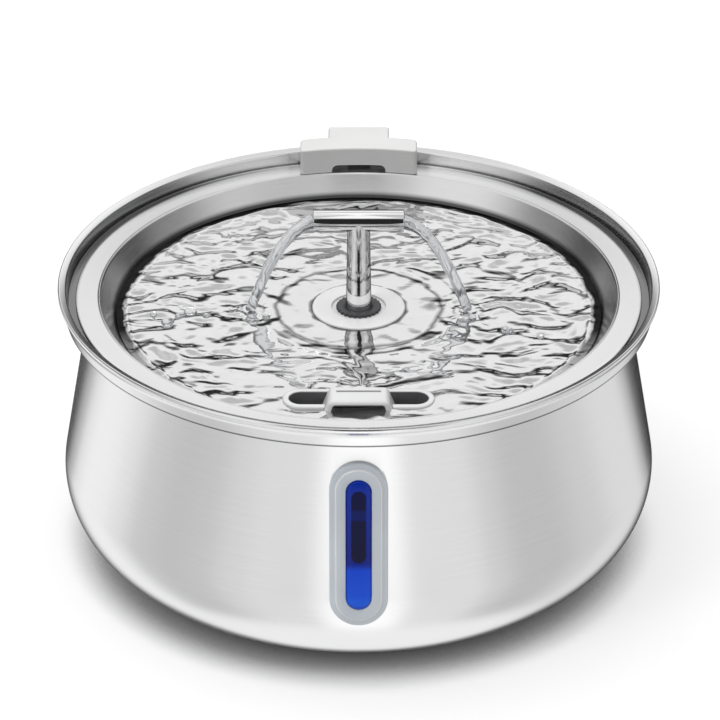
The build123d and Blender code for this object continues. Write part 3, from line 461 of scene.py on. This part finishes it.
window_height = 65.8
window_place = (0, -wall_radius(window_height), window_height)
window_turn = (pi / 2 - wall_lean, 0, 0)
opening_length, opening_width = 62.69, 17.7
opening = stadium("opening", [(opening_width / 2, -6.0), (opening_width / 2, 6.0)], opening_length - opening_width)
stand(opening, window_place, window_turn)
cut(pot, opening)
finish_mesh(pot, 30)
place(pot, "basin", "steel_satin", basin_steel, "basin_shell", "basin_lip", "rear_lip")


# ---------------------------------------------------------------- foot ring
# Ring of black rubber that keeps the pot from sliding. It is moulded flat, with a groove in its tread, and glued
# under the base.

def moulded(name, colour, roughness, grain=1.5, depth=0.05, coat=0.0, spread=0.08):
    """Plastic, rubber or ceramic with a fine surface grain (spacing in mm) and a slightly uneven tone."""
    look, tree, shader = principled(name, colour, roughness)
    whole = object_place(tree)[0]
    fine = grained(tree, whole, 1 / (grain * MM))
    wide = grained(tree, whole, 1 / (25 * grain * MM))
    feed(tree, shader, {
        "Normal": raised(tree, fine, depth),
        "Base Color": ramp(tree, wide, [(0.3, tuple(part * (1 - spread) for part in colour)), (0.7, colour)]),
        "Roughness": stretched(tree, wide, to_low=roughness * 0.85, to_high=min(1.0, roughness * 1.15)),
        "Coat Weight": coat, "Coat Roughness": 0.08,
    })
    return look


black_rubber = moulded("black_rubber", (0.018, 0.018, 0.02), 0.62, 0.8, 0.2)
foot = turned("basin_foot", rounded([
    (77.0, 0.0, 0.25), (80.0, 0.0, 0.15), (80.0, 0.4, 0.0), (83.0, 0.4, 0.0), (83.0, 0.0, 0.15),
    (86.0, 0.0, 0.3), (86.0, 1.2, 0.1), (77.0, 1.2, 0.1),
], 3), turns=192)
place(foot, "basin", "rubber_dark", black_rubber, "foot_ring")


# ---------------------------------------------------------------- level window
# Pale translucent frame clamped through the wall: an outer band, a step with a painted highlight and a face dished
# towards the blue lens. The lens is a solid plug of clear blue plastic with a pocket in the back of its upper part.

frame_plastic = moulded("window_frame", (0.70, 0.75, 0.80), 0.32, 1.2, 0.03, coat=0.5)
feed(frame_plastic.node_tree, frame_plastic.node_tree.nodes["Principled BSDF"],
     {"Subsurface Weight": 0.25, "Subsurface Radius": (0.002, 0.0025, 0.003)})
frame_length, frame_width = 69.09, 23.3
mouth_length, mouth_width = 55.29, 10.3
bezel_run = rounded([
    (frame_width / 2, -0.72, 0.0), (frame_width / 2, 1.6, 0.75), (9.35, 1.6, 0.15), (9.15, 2.5, 0.3), (7.2, 2.2, 0.6),
    (mouth_width / 2, 1.5, 0.2), (mouth_width / 2, -3.9, 0.1), (8.5, -3.9, 0.1), (8.5, -0.72, 0.0),
], 5)
bezel = turned("window_frame", bezel_run, turns=128)
pull_apart(bezel, frame_length - frame_width, between=(6.2, 1000))
pull_apart(bezel, mouth_length - mouth_width, between=(0, 6.2))
stand(bezel, window_place, window_turn)
finish_mesh(bezel, 35)
place(bezel, "basin", "bezel_grey", frame_plastic, "window_bezel")


def paint_faces(piece, look, test):
    """Gives the faces whose middle and normal pass the test a second material, with which light and shade are painted
    on them.
    """
    piece.data.materials.append(look)
    for face in piece.data.polygons:
        if test(face.center / MM, face.normal):
            face.material_index = 1


def from_spine(point):
    """Distance from the window's upright middle line, along which its stadium shapes are drawn out."""
    point = point - Vector(window_place)
    up_wall = point.dot(Vector((0.0, sin(wall_lean), cos(wall_lean))))
    return hypot(point.x, max(abs(up_wall) - (frame_length - frame_width) / 2, 0.0))


# The step between band and face is painted near white under a clear coat, a painted highlight along its edge.
edge_painted_highlight = moulded("edge_painted_highlight", (0.95, 0.96, 0.97), 0.18, 1.2, 0.0, coat=1.0)
paint_faces(bezel, edge_painted_highlight, lambda middle, normal: 8.75 < from_spine(middle) < 9.5 and normal.y < 0.2)

lens_length, lens_width = 54.69, 9.7
pocket_length, pocket_width, pocket_end = 30.99, 6.3, 4.0
pocket_centre = (lens_length - pocket_length) / 2 - pocket_end
lens = stadium("window_lens", [
    (5.75, -5.2), (5.75, -4.3), (4.85, -4.3), (4.85, 1.45), (4.74, 1.78), (4.5, 2.0), (4.2, 2.08), (2.0, 2.1),
], lens_length - lens_width, turns=96)
pocket = stadium("pocket", [(pocket_width / 2, -6.0), (pocket_width / 2, 0.5)], pocket_length - pocket_width)
stand(pocket, (0, pocket_centre, 0))
cut(lens, pocket)
stand(lens, window_place, window_turn)
finish_mesh(lens, 35)

# Painted shade darkens the blue where the pocket lies behind it, a paler painted band crosses it there, a painted glow
# brightens the solid foot below, and the upper part of the solid blue is painted darker.
blue, tree, shader = principled("blue_lens", (0.01, 0.09, 0.75), 0.22)
parts = object_place(tree)[1]
up_wall = maths(tree, "ADD",
                maths(tree, "MULTIPLY", maths(tree, "SUBTRACT", parts["Z"], window_height * MM), cos(wall_lean)),
                maths(tree, "MULTIPLY", maths(tree, "ADD", parts["Y"], -window_place[1] * MM), sin(wall_lean)))
from_pocket = maths(tree, "ABSOLUTE", maths(tree, "SUBTRACT", up_wall, pocket_centre * MM))
beyond = maths(tree, "MAXIMUM", maths(tree, "SUBTRACT", from_pocket, (pocket_length - pocket_width) / 2 * MM), 0.0)
across = maths(tree, "MULTIPLY", parts["X"], parts["X"])
spread = maths(tree, "SQRT", maths(tree, "ADD", across, maths(tree, "MULTIPLY", beyond, beyond)))
outside_pocket = maths(tree, "DIVIDE", maths(tree, "SUBTRACT", spread, 2.2 * MM), 2.0 * MM, clamp=True)
lengthwise = maths(tree, "DIVIDE", maths(tree, "ADD", up_wall, lens_length / 2 * MM), lens_length * MM, clamp=True)
body_blue_and_painted_light = ramp(tree, lengthwise, [(0.0, (0.006, 0.07, 0.62)), (0.05, (0.01, 0.12, 0.80)),
                                    (0.12, (0.008, 0.09, 0.74)), (0.30, (0.004, 0.07, 0.70)),
                                    (0.36, (0.002, 0.015, 0.26)), (1.0, (0.003, 0.03, 0.38))])
pocket_painted_shade = ramp(tree, lengthwise, [(0.36, (0.0005, 0.002, 0.035)), (0.68, (0.0005, 0.002, 0.045)),
                                      (0.71, (0.002, 0.01, 0.14)), (0.76, (0.002, 0.01, 0.12)),
                                      (0.79, (0.0005, 0.002, 0.05)), (1.0, (0.0005, 0.003, 0.06))])
lens_blue_painted_light = blended(tree, ramp(tree, outside_pocket, [(0.30, 0.0), (0.45, 1.0)]), pocket_painted_shade, body_blue_and_painted_light)
# The lens also glows faintly in its own blue: a painted glow, though no lamp is in it.
feed(tree, shader, {"Base Color": lens_blue_painted_light, "Transmission Weight": 0.15, "IOR": 1.49, "Specular IOR Level": 0.22,
                    "Emission Color": lens_blue_painted_light, "Emission Strength": 0.10})
place(lens, "basin", "lens_blue", blue, "window_lens")


# ---------------------------------------------------------------- tray
# Pressed stainless tray that rests on the basin's ledge: rolled edge, flat brushed flange, a bead, a conical wall,
# a flat moat and two low steps up to the centre. A slot is cut for the drain and a notch at the back for the lead.

tray_steel = brushed_steel("tray_steel", (0.87, 0.87, 0.875), 0.24, 0.45, 0.05, 9.0)
# Shade is painted on the wall in a dark band where the water stands against it.
paint_shade(tray_steel, "Z", [(0.715, 0.12), (0.726, 1.0)], 96.0, 106.0)
tray_run = rounded([
    (12.3, 105.0, 0.0), (33.0, 105.0, 0.8), (35.0, 103.8, 0.8), (41.0, 103.8, 0.8), (44.0, 102.5, 0.9),
    (98.28, 102.5, 2.5), (107.2, 114.95, 0.3), (107.8, 115.5, 0.3), (108.5, 115.1, 0.3), (116.6, 115.1, 0.5),
    (117.6, 114.9, 0.35), (117.6, 114.3, 0.2), (108.2, 114.3, 1.2), (98.9, 101.7, 2.5), (43.6, 101.7, 0.8),
    (40.6, 103.0, 0.8), (34.6, 103.0, 0.6), (32.6, 104.2, 0.6), (12.3, 104.2, 0.0),
], 5)
tray = turned("tray_pan", tray_run, turns=320)
drain_y, slot_length, slot_width = -76.7, 59.2, 13.4
slot = stadium("slot", [(slot_width / 2, 95.0), (slot_width / 2, 108.0)], slot_length - slot_width, axis=0)
stand(slot, (0, drain_y, 0))
cut(tray, slot)
cut(tray, box("notch", (-5.0, 109.6, 110.0), (5.0, 125.0, 120.0)))
finish_mesh(tray, 30)
place(tray, "tray", "steel_satin", tray_steel, "tray_pan")


# ---------------------------------------------------------------- drain
# Raised stadium collar round the drain slot, and a bridge over its middle: open in front, with a slot in its roof.
# Both are pale grey mouldings.

def polished_steel(name, colour, roughness):
    """Bright steel with faint polishing marks."""
    look, tree, shader = principled(name, colour, roughness, 1.0)
    marks = grained(tree, object_place(tree)[0], 600.0, 4.0)
    feed(tree, shader, {"Roughness": stretched(tree, marks, to_low=roughness * 0.7, to_high=roughness * 1.4),
                        "Normal": raised(tree, marks, 0.02, 0.0002)})
    return look


def narrow_top(piece, low_width, high_width):
    """Draws the upper end of a block in, so that its front is a trapezoid."""
    top = max(vertex.co.z for vertex in piece.data.vertices) / MM
    pick(piece, lambda point: point.z > top - 0.01)
    bpy.ops.transform.resize(value=(high_width / low_width, 1, 1), center_override=(0, 0, 0))
    bpy.ops.object.mode_set(mode="OBJECT")


drain_plastic = moulded("drain_plastic", (0.70, 0.70, 0.705), 0.22, 1.0, 0.03, coat=0.5, spread=0.03)
collar_length, collar_width = 61.0, 15.2
collar = stadium("drain_collar", rounded([
    (5.1, 98.7, 0.1), (6.4, 98.7, 0.1), (6.4, 102.5, 0.0), (collar_width / 2, 102.5, 0.0),
    (collar_width / 2, 107.5, 0.9), (5.1, 107.5, 0.5),
], 5), collar_length - collar_width, axis=0, turns=96, solid=False)
stand(collar, (0, drain_y, 0))
hood_room = box("hood_room", (-15.45, -92.0, 102.5), (15.45, drain_y, 111.0))
narrow_top(hood_room, 30.9, 24.2)
cut(collar, hood_room)
finish_mesh(collar, 35)
place(collar, "tray", "trim_grey", drain_plastic, "drain_collar")


def from_drain(x, y):
    """Distance from the drain's middle line, along which its slot and its collar are drawn out."""
    return hypot(max(abs(x) - (collar_length - collar_width) / 2, 0.0), y - drain_y)


# Shade is painted into the collar's inside as a dark grey.
drain_painted_shade = moulded("drain_painted_shade", (0.13, 0.13, 0.135), 0.30, 1.0, 0.05, coat=0.3)
paint_faces(collar, drain_painted_shade, lambda middle, normal: from_drain(middle.x, middle.y) < 5.35 and middle.z < 107.0)

hood = box("drain_hood", (-15.15, -86.0, 102.5), (15.15, -74.2, 110.7))
narrow_top(hood, 30.3, 23.8)
soften(hood, 1.8, lambda one, two: min(one.z, two.z) < 110.0 and max(one.z, two.z) > 110.0
       or min(one.z, two.z) > 110.0 and (abs(one.x - two.x) < 1 or max(one.y, two.y) < -80), 6)
hollow = box("hollow", (-13.5, -95.0, 100.0), (13.5, -75.7, 109.2))
narrow_top(hollow, 27.0, 20.2)
soften(hollow, 0.9, lambda one, two: min(one.z, two.z) > 109.0 and abs(one.x - two.x) < 1, 4)
cut(hood, hollow)
cut(hood, box("roof_slot", (-8.9, -77.95, 105.0), (8.9, -76.65, 115.0)))
finish_mesh(hood, 35)
place(hood, "tray", "trim_grey", drain_plastic, "drain_hood")


# ---------------------------------------------------------------- centre fitting
# White moulded disc whose hub goes through the tray; a soft dark ring with a knurled edge sits in its middle and
# holds the stem.

white_plastic = moulded("white_plastic", (0.80, 0.80, 0.80), 0.34, 1.0, 0.04, coat=0.25, spread=0.03)
fitting = turned("centre_disc", rounded([
    (3.0, 83.0, 0.1), (4.45, 83.0, 0.2), (4.45, 93.0, 0.1), (12.0, 93.0, 0.3), (12.0, 105.0, 0.0),
    (19.4, 105.0, 0.2), (19.4, 107.3, 0.7), (11.3, 107.3, 0.3), (11.3, 106.3, 0.1), (8.15, 106.3, 0.1),
    (8.15, 103.3, 0.0), (5.95, 103.3, 0.0), (5.95, 95.0, 0.0), (3.0, 95.0, 0.0),
], 4), turns=192)
place(fitting, "tray", "white_plastic", white_plastic, "centre_fitting")

dark_rubber = moulded("dark_rubber", (0.055, 0.056, 0.06), 0.5, 0.8, 0.15, coat=0.15)
knurls = 26
sleeve = turned("stem_sleeve", rounded([
    (5.35, 103.3, 0.1), (8.0, 103.3, 0.2), (8.0, 106.3, 0.0), (9.4, 106.3, 0.15), (9.4, 107.6, 0.3),
    (6.4, 107.6, 0.5), (5.35, 107.1, 0.1),
], 4), turns=knurls * 8)
pick(sleeve, lambda point: hypot(point.x, point.y) > 8.9 and atan2(point.y, point.x) / (2 * pi) * knurls % 1 < 0.5)
bpy.ops.transform.resize(value=(0.945, 0.945, 1), center_override=(0, 0, 0))
bpy.ops.object.mode_set(mode="OBJECT")
finish_mesh(sleeve, 30)
place(sleeve, "spout", "rubber_dark", dark_rubber, "spout_grommet")


# ---------------------------------------------------------------- spout
# Polished steel tee that stands in the disc and turns there: a stem that tapers upwards and a crossbar, open at both
# ends, brazed across its top.

tube_steel = polished_steel("tube_steel", (0.92, 0.92, 0.925), 0.06)
feed(tube_steel.node_tree, tube_steel.node_tree.nodes["Principled BSDF"], {"Specular Tint": (0.15, 0.15, 0.16, 1)})
bar_height, bar_radius, bar_half = 147.3, 4.55, 18.65
stem = turned("spout_stem", rounded([
    (3.0, 95.3, 0.0), (5.0, 95.3, 0.3), (5.0, 103.3, 0.1), (5.3, 103.3, 0.1), (5.3, 107.3, 0.0),
    (4.65, bar_height, 0.0), (3.0, bar_height, 0.0),
], 3), turns=128)
saddle = turned("saddle", [(bar_radius, -12.0), (bar_radius, 12.0)], 96, solid=True)
stand(saddle, (0, 0, bar_height), (0, pi / 2, 0))
cut(stem, saddle)
finish_mesh(stem, 30)
place(stem, "spout", "steel_polished", tube_steel, "spout_stem")

bar = turned("spout_crossbar", rounded([
    (3.75, -bar_half, 0.2), (bar_radius, -bar_half, 0.25), (bar_radius, bar_half, 0.25), (3.75, bar_half, 0.2),
], 4), turns=128)
stand(bar, (0, 0, bar_height), (0, pi / 2, 0))
cut(bar, turned("water_hole", [(3.0, 140.0), (3.0, bar_height)], 48, solid=True))
finish_mesh(bar, 30)
place(bar, "spout", "steel_polished", tube_steel, "spout_crossbar")


# ---------------------------------------------------------------- lead clip
# Pale grey moulding over the back of the rim: curved body with an arched mouth towards the bowl, open below, and a
# tab that reaches over the lip with a bush in its rear wall.

clip_plastic = moulded("clip_plastic", (0.74, 0.74, 0.735), 0.38, 1.0, 0.05, coat=0.2, spread=0.04)


def sector(name, inner, outer, width, low, high, corner):
    """Curved bar at the back of the rim with rounded upright corners."""
    piece = turned(name, [(inner, low), (outer, low), (outer, high), (inner, high)], turns=360)
    cut(piece, box("side_limits", (-width / 2, inner * 0.8, low - 1), (width / 2, outer + 5, high + 1)), "INTERSECT")
    soften(piece, corner, lambda one, two: abs(one.z - two.z) > (high - low) * 0.9
           and abs(abs(one.x) - width / 2) < 0.01 and abs(abs(two.x) - width / 2) < 0.01, 6)
    return piece


def rounded_plan(name, corners, low, high, edge, steps=6):
    """Upright prism on a plan of (x, y, softening) corners, with its top edge rounded over."""
    plan = rounded(corners, steps)
    mesh = bpy.data.meshes.new(name)
    mesh.from_pydata([(point.x * MM, point.y * MM, low * MM) for point in plan], [], [range(len(plan))])
    piece = add_object(name, mesh)
    pick(piece, lambda point: True)
    bpy.ops.mesh.extrude_region_move(TRANSFORM_OT_translate={"value": (0, 0, (high - low) * MM)})
    bpy.ops.object.mode_set(mode="OBJECT")
    finish_mesh(piece)
    soften(piece, edge, lambda one, two: min(one.z, two.z) > high - 0.01, 5)
    return piece


def arc(radius, half_width, steps=24):
    """Plan points along the back of a circle, from right to left."""
    reach = asin(half_width / radius)
    return [(radius * sin(reach * (1 - 2 * step / steps)), radius * cos(reach * (1 - 2 * step / steps)), 0.0)
            for step in range(steps + 1)]


def bar_plan(inner, outer, width, corner):
    """Back and front of the plan of a curved bar at the back of the rim, with softened corners."""
    back, front = arc(outer, width / 2), arc(inner, width / 2)[::-1]
    for row in (back, front):
        for end in (0, -1):
            row[end] = (*row[end][:2], corner)
        del row[1], row[-2]
    return back, front


back, front = bar_plan(108.5, 120.0, 51.4, 2.4)
tab_half, tab_back = 13.4, 130.0
outer_right = [point for point in back if point[0] > tab_half + 1.1]
outer_left = [point for point in back if point[0] < -tab_half - 1.1]
seat_y = sqrt(120.0 ** 2 - tab_half ** 2)
tab_end = [(tab_half, seat_y, 0.6), (tab_half, tab_back, 1.5), (-tab_half, tab_back, 1.5), (-tab_half, seat_y, 0.6)]
cover = rounded_plan("clip_cover", outer_right + tab_end + outer_left + front, 109.0, 127.0, 0.8)
room = box("rim_room", (-40.0, 90.0, 100.0), (40.0, 125.3, 121.3))
seat = turned("seat", [(120.0, 115.4), (120.0, 140.0)], turns=360, solid=True)
cut(room, seat)
cut(cover, room)
cut(cover, box("below_body", (-40.0, 90.0, 100.0), (40.0, 121.0, 115.4)))
cut(cover, sector("clip_hollow", 110.2, 118.3, 48.0, 114.0, 125.3, 1.3))
cut(cover, box("lead_channel", (-11.7, 115.0, 121.0), (11.7, 128.3, 126.0)))
arch = box("arch", (-11.8, 100.0, 110.0), (11.8, 112.0, 118.7))
soften(arch, 2.4, lambda one, two: min(one.z, two.z) > 118.6 and abs(one.x - two.x) < 0.01, 6)
cut(cover, arch)
gland_hole = turned("gland_hole", [(1.9, 127.0), (1.9, 132.0)], 48, solid=True)
stand(gland_hole, (0, 0, 123.65), (-pi / 2, 0, 0))
cut(cover, gland_hole)
finish_mesh(cover, 35)
place(cover, "clip", "clip_grey", clip_plastic, "clip_cover", "clip_tab", "clip_apron")


# ---------------------------------------------------------------- water
# Water in the tray, stirred into small steep ripples, with rings where the two streams land. It is an open sheet of
# squares between the disc and the tray's wall, with a gap where it falls into the drain.

water, tree, shader = principled("water", (0.93, 0.95, 0.96), 0.02)
whole, parts, _, out = object_place(tree)
drawn_out = node(tree, "ShaderNodeMapping", {"Vector": whole, "Scale": (0.6, 1.0, 1.0)}).outputs[0]
ripples = grained(tree, drawn_out, 95.0, 1.6, Roughness=0.5, Distortion=1.1)
# The water is calm in front of the spout and close round it, and lively beside and behind it. The last distance is
# measured from the middle of the base, 106 mm below the water, so that it grows from 28 to 43 mm off the spout.
beside = maths(tree, "MULTIPLY", maths(tree, "SUBTRACT", maths(tree, "ABSOLUTE", parts["X"]), 0.022), 22.0)
back = maths(tree, "MULTIPLY", maths(tree, "ADD", parts["Y"], 0.012), 16.0)
lively = maths(tree, "MINIMUM", maths(tree, "MAXIMUM", maths(tree, "MAXIMUM", beside, back), 0.4), 1.0)
off_base = node(tree, "ShaderNodeVectorMath", {0: whole}, operation="LENGTH").outputs["Value"]
lively = maths(tree, "MULTIPLY", lively, stretched(tree, off_base, 0.110, 0.115, 0.25, 1.0))
rippled = raised(tree, maths(tree, "MULTIPLY", ripples, lively), 1.0, 0.0007)
feed(tree, shader, {"Transmission Weight": 1.0, "IOR": 1.33, "Normal": rippled})
# Most of what is seen is mirrored, and more of it where the water leans away.
sheen = node(tree, "ShaderNodeBsdfGlossy", {"Roughness": 0.03, "Normal": rippled})
facing = node(tree, "ShaderNodeLayerWeight", {"Blend": 0.35, "Normal": rippled}).outputs["Facing"]
wet = mixed_shader(tree, stretched(tree, facing, 0.25, 0.50, 0.84, 0.97), shader.outputs[0], sheen.outputs[0])
# Painted shade in dark lines: where the water meets the disc, over the edge of the tray's raised centre, and along the
# wall behind.
wander = maths(tree, "MULTIPLY", maths(tree, "SUBTRACT", ripples, 0.5), 0.004)
across = maths(tree, "MULTIPLY", maths(tree, "ADD", out, wander), 5.0, clamp=True)
lines = ramp(tree, across, [(0.100, 0.85), (0.105, 0.0), (0.165, 0.0), (0.172, 0.75), (0.180, 0.0), (0.486, 0.0),
                            (0.492, 1.0)], "LINEAR")
inner = maths(tree, "LESS_THAN", out, 0.06)
painted_line_shade = maths(tree, "MULTIPLY", lines, maths(tree, "MAXIMUM", inner, stretched(tree, parts["Y"], -0.075, -0.02)))
shade = node(tree, "ShaderNodeBsdfGlossy", {"Color": (0.02, 0.02, 0.02, 1), "Roughness": 0.2})
feed(tree, tree.nodes["Material Output"], {"Surface": mixed_shader(tree, painted_line_shade, wet, shade.outputs[0])})

water_level, water_edge, disc_edge = 106.5, 101.0, 19.5
landings = [Vector((-45.5, -3.0)), Vector((45.5, -3.0))]


def around(value, middle, width):
    """Smooth hump round a middle value."""
    return exp(-((value - middle) / width) ** 2)


def water_height(x, y):
    """Height of the rippled surface above the water level."""
    out = hypot(x, y)
    start = min(1.0, max(0.0, (out - disc_edge) / 6))
    side = min(1.0, max(0.0, (abs(x) - 20) / 35))
    lively = max(side, min(1.0, max(0.0, (y - 5) / 30)), 0.42)
    warp_x = x + 7 * noise.noise(Vector((x / 24, y / 24, 1.0)))
    warp_y = y + 7 * noise.noise(Vector((x / 24, y / 24, 2.0)))
    chop = noise.noise(Vector((warp_x / 11, warp_y / 6.8, 0.3))) * 1.05
    chop += noise.noise(Vector((warp_x / 5.5, warp_y / 3.8, 4.1))) * 0.34
    height = chop * lively * (0.25 + 0.75 * min(1.0, max(0.0, (out - 28) / 16)))
    for landing in landings:
        far = (Vector((x, y)) - landing).length
        wobble = 2.0 * noise.noise(Vector((x / 14, y / 14, 6.0)))
        height += 0.34 * cos(far * 0.42 + wobble) * exp(-far / 30) + 0.30 * cos(far * 1.25) * exp(-far / 7)
        height += 0.5 * abs(noise.noise(Vector((x / 2.2, y / 2.2, 7.0)))) * around(far, 5.0, 4.0)
        height -= 0.5 * around(far, 0.0, 3.0)
    height += 0.22 * around(out, 41.0, 1.8) - 0.18 * around(out, 35.0, 1.5)
    height = height * start * min(1.0, max(0.0, (water_edge - out) / 5)) + 0.35 * around(out, 96.6, 0.9)
    return height


rows, turns = 150, 500
points, faces = [], []
for row in range(rows + 1):
    radius = disc_edge + (water_edge - disc_edge) * row / rows
    for turn_place in range(turns):
        angle = 2 * pi * turn_place / turns
        x, y = radius * cos(angle), radius * sin(angle)
        points.append(Vector((x, y, water_level + water_height(x, y))) * MM)
for row in range(rows):
    for turn_place in range(turns):
        beside = (turn_place + 1) % turns
        middle = (points[row * turns + turn_place] + points[(row + 1) * turns + beside]) / 2 / MM
        # Inside the drain's collar the water falls away.
        if from_drain(middle.x, middle.y) >= 6.4:
            faces.append((row * turns + turn_place, (row + 1) * turns + turn_place,
                          (row + 1) * turns + beside, row * turns + beside))
mesh = bpy.data.meshes.new("water_surface")
mesh.from_pydata(points, [], faces)
surface = add_object("water_surface", mesh)
surface.data.materials.append(water)
for face in mesh.polygons:
    face.use_smooth = True
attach(surface, "tray")


# ---------------------------------------------------------------- streams
# Two streams of water that fill the crossbar's open ends, grow thinner as they speed up and land in the tray. Each
# is a round rod along its fall, and then uneven along its length.

clear_water, tree, shader = principled("clear_water", (0.97, 0.98, 1.0), 0.02)
feed(tree, shader, {"Transmission Weight": 0.85, "IOR": 1.33})
stream_start, stream_top, stream_reach = 17.3, 147.0, 28.0

for side, name in ((-1, "stream_left"), (1, "stream_right")):
    path_data = bpy.data.curves.new(name, "CURVE")
    path_data.dimensions = "3D"
    path_data.bevel_depth = 1.0 * MM
    path_data.bevel_resolution = 12
    path_data.use_fill_caps = True
    strand = path_data.splines.new("POLY")
    steps = 130
    strand.points.add(steps)
    for step, point in enumerate(strand.points):
        share_down = step / steps
        out = stream_reach * share_down
        point.co = (side * (stream_start + out) * MM, -3.5 * share_down * MM,
                    (stream_top - 0.0505 * out * out) * MM, 1)
        point.radius = 2.05 + 1.55 * exp(-out / 6) + 0.3 * around(out, 20.0, 3.0)
    stream = add_object(name, path_data)
    take(stream)
    bpy.ops.object.convert(target="MESH")
    stream = bpy.context.object
    stream.name = stream.data.name = name
    finish_mesh(stream, 60)
    for vertex, normal in zip(stream.data.vertices, [vertex.normal.copy() for vertex in stream.data.vertices]):
        out = abs(vertex.co.x) / MM - stream_start
        along = hypot(out, stream_top - vertex.co.z / MM)
        strand_noise = noise.noise(Vector((vertex.co.y / MM / 1.3, along / 9, normal.z * 1.8 + side)))
        pinch = noise.noise(Vector((along / 2.6, side * 5.0, 1.0)))
        vertex.co += normal * (0.42 * strand_noise + 0.22 * pinch) * min(1.0, max(0.0, out / 3)) * MM
    stream.data.materials.clear()
    stream.data.materials.append(clear_water)
    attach(stream, "spout")


# ---------------------------------------------------------------- bubbles
# Flat domes of air that drift beside the landing streams: round balls pressed flat, strewn about four places and
# joined into one piece.

chance = Random(7)
domes = []
for count, centre, reach in ((7, (-72.0, -10.0), 8.0), (3, (-46.0, -9.0), 4.0), (3, (46.0, -9.0), 4.0),
                             (3, (71.0, -17.0), 9.0)):
    for _ in range(count):
        x, y = centre[0] + chance.gauss(0, reach), centre[1] + chance.gauss(0, reach * 0.6)
        bpy.ops.object.select_all(action="DESELECT")
        bpy.ops.mesh.primitive_uv_sphere_add(segments=32, ring_count=16, radius=chance.uniform(1.3, 2.9) * MM,
                                             location=(x * MM, y * MM, (water_level + water_height(x, y)) * MM))
        dome = bpy.context.object
        dome.scale = (1.0, 1.0, 0.55)
        bpy.ops.object.transform_apply(location=True, rotation=True, scale=True)
        domes.append(dome)
for dome in domes:
    dome.select_set(True)
bpy.context.view_layer.objects.active = domes[0]
bpy.ops.object.join()
bubbles = bpy.context.object
bubbles.name = bubbles.data.name = "bubbles"
bpy.ops.object.shade_smooth()
bubbles.data.materials.append(clear_water)
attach(bubbles, "tray")


# ---------------------------------------------------------------- inner pieces
# Pieces that keep their CAD shape: seals, screws, the cage with its lid and filter, and the pump. They are moulded
# in plastic, rubber and silicone, apart from the steel screws, the ferrite magnet and its ceramic shaft.

pale_silicone = moulded("pale_silicone", (0.70, 0.71, 0.70), 0.45, 1.2, 0.08)
screw_steel = polished_steel("screw_steel", (0.72, 0.725, 0.73), 0.22)
cage_plastic = moulded("cage_plastic", (0.80, 0.80, 0.79), 0.40, 1.0, 0.05, spread=0.03)
pump_plastic = moulded("pump_plastic", (0.022, 0.023, 0.025), 0.40, 1.0, 0.12)
ferrite = moulded("ferrite", (0.05, 0.048, 0.046), 0.55, 0.6, 0.25)
ceramic = moulded("ceramic", (0.82, 0.81, 0.78), 0.18, 0.8, 0.02)
fleece = moulded("filter_fleece", (0.80, 0.80, 0.78), 0.95, 0.7, 1.0, spread=0.15)
sponge = moulded("sponge", (0.12, 0.12, 0.13), 0.95, 1.6, 1.0, spread=0.5)
lamp_clear, tree, shader = principled("lamp_clear", (0.85, 0.90, 0.95), 0.15)
feed(tree, shader, {"Transmission Weight": 0.6})

finishes = {
    "window_gasket": pale_silicone, "window_backplate": cage_plastic, "window_screws": screw_steel,
    "pump_housing": cage_plastic, "housing_floor": cage_plastic, "housing_lid": cage_plastic,
    "filter_frame": cage_plastic, "filter_pad": fleece, "pump_body": pump_plastic, "cover_seal": dark_rubber,
    "suction_cups": dark_rubber, "pump_cover": pump_plastic, "flow_slider": pump_plastic, "shaft_bushes": dark_rubber,
    "impeller_shaft": ceramic, "impeller_magnet": ferrite, "impeller_wheel": cage_plastic,
    "pump_light": lamp_clear, "riser_tube": pale_silicone, "sponge_filter": sponge,
    "fitting_gasket": pale_silicone, "fitting_nut": white_plastic, "stem_rings": dark_rubber,
    "clip_hook": clip_plastic, "clip_screws": screw_steel, "lead_gland": dark_rubber,
}
for name, finish in finishes.items():
    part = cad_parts[name]
    part.data.materials.clear()
    part.data.materials.append(finish)
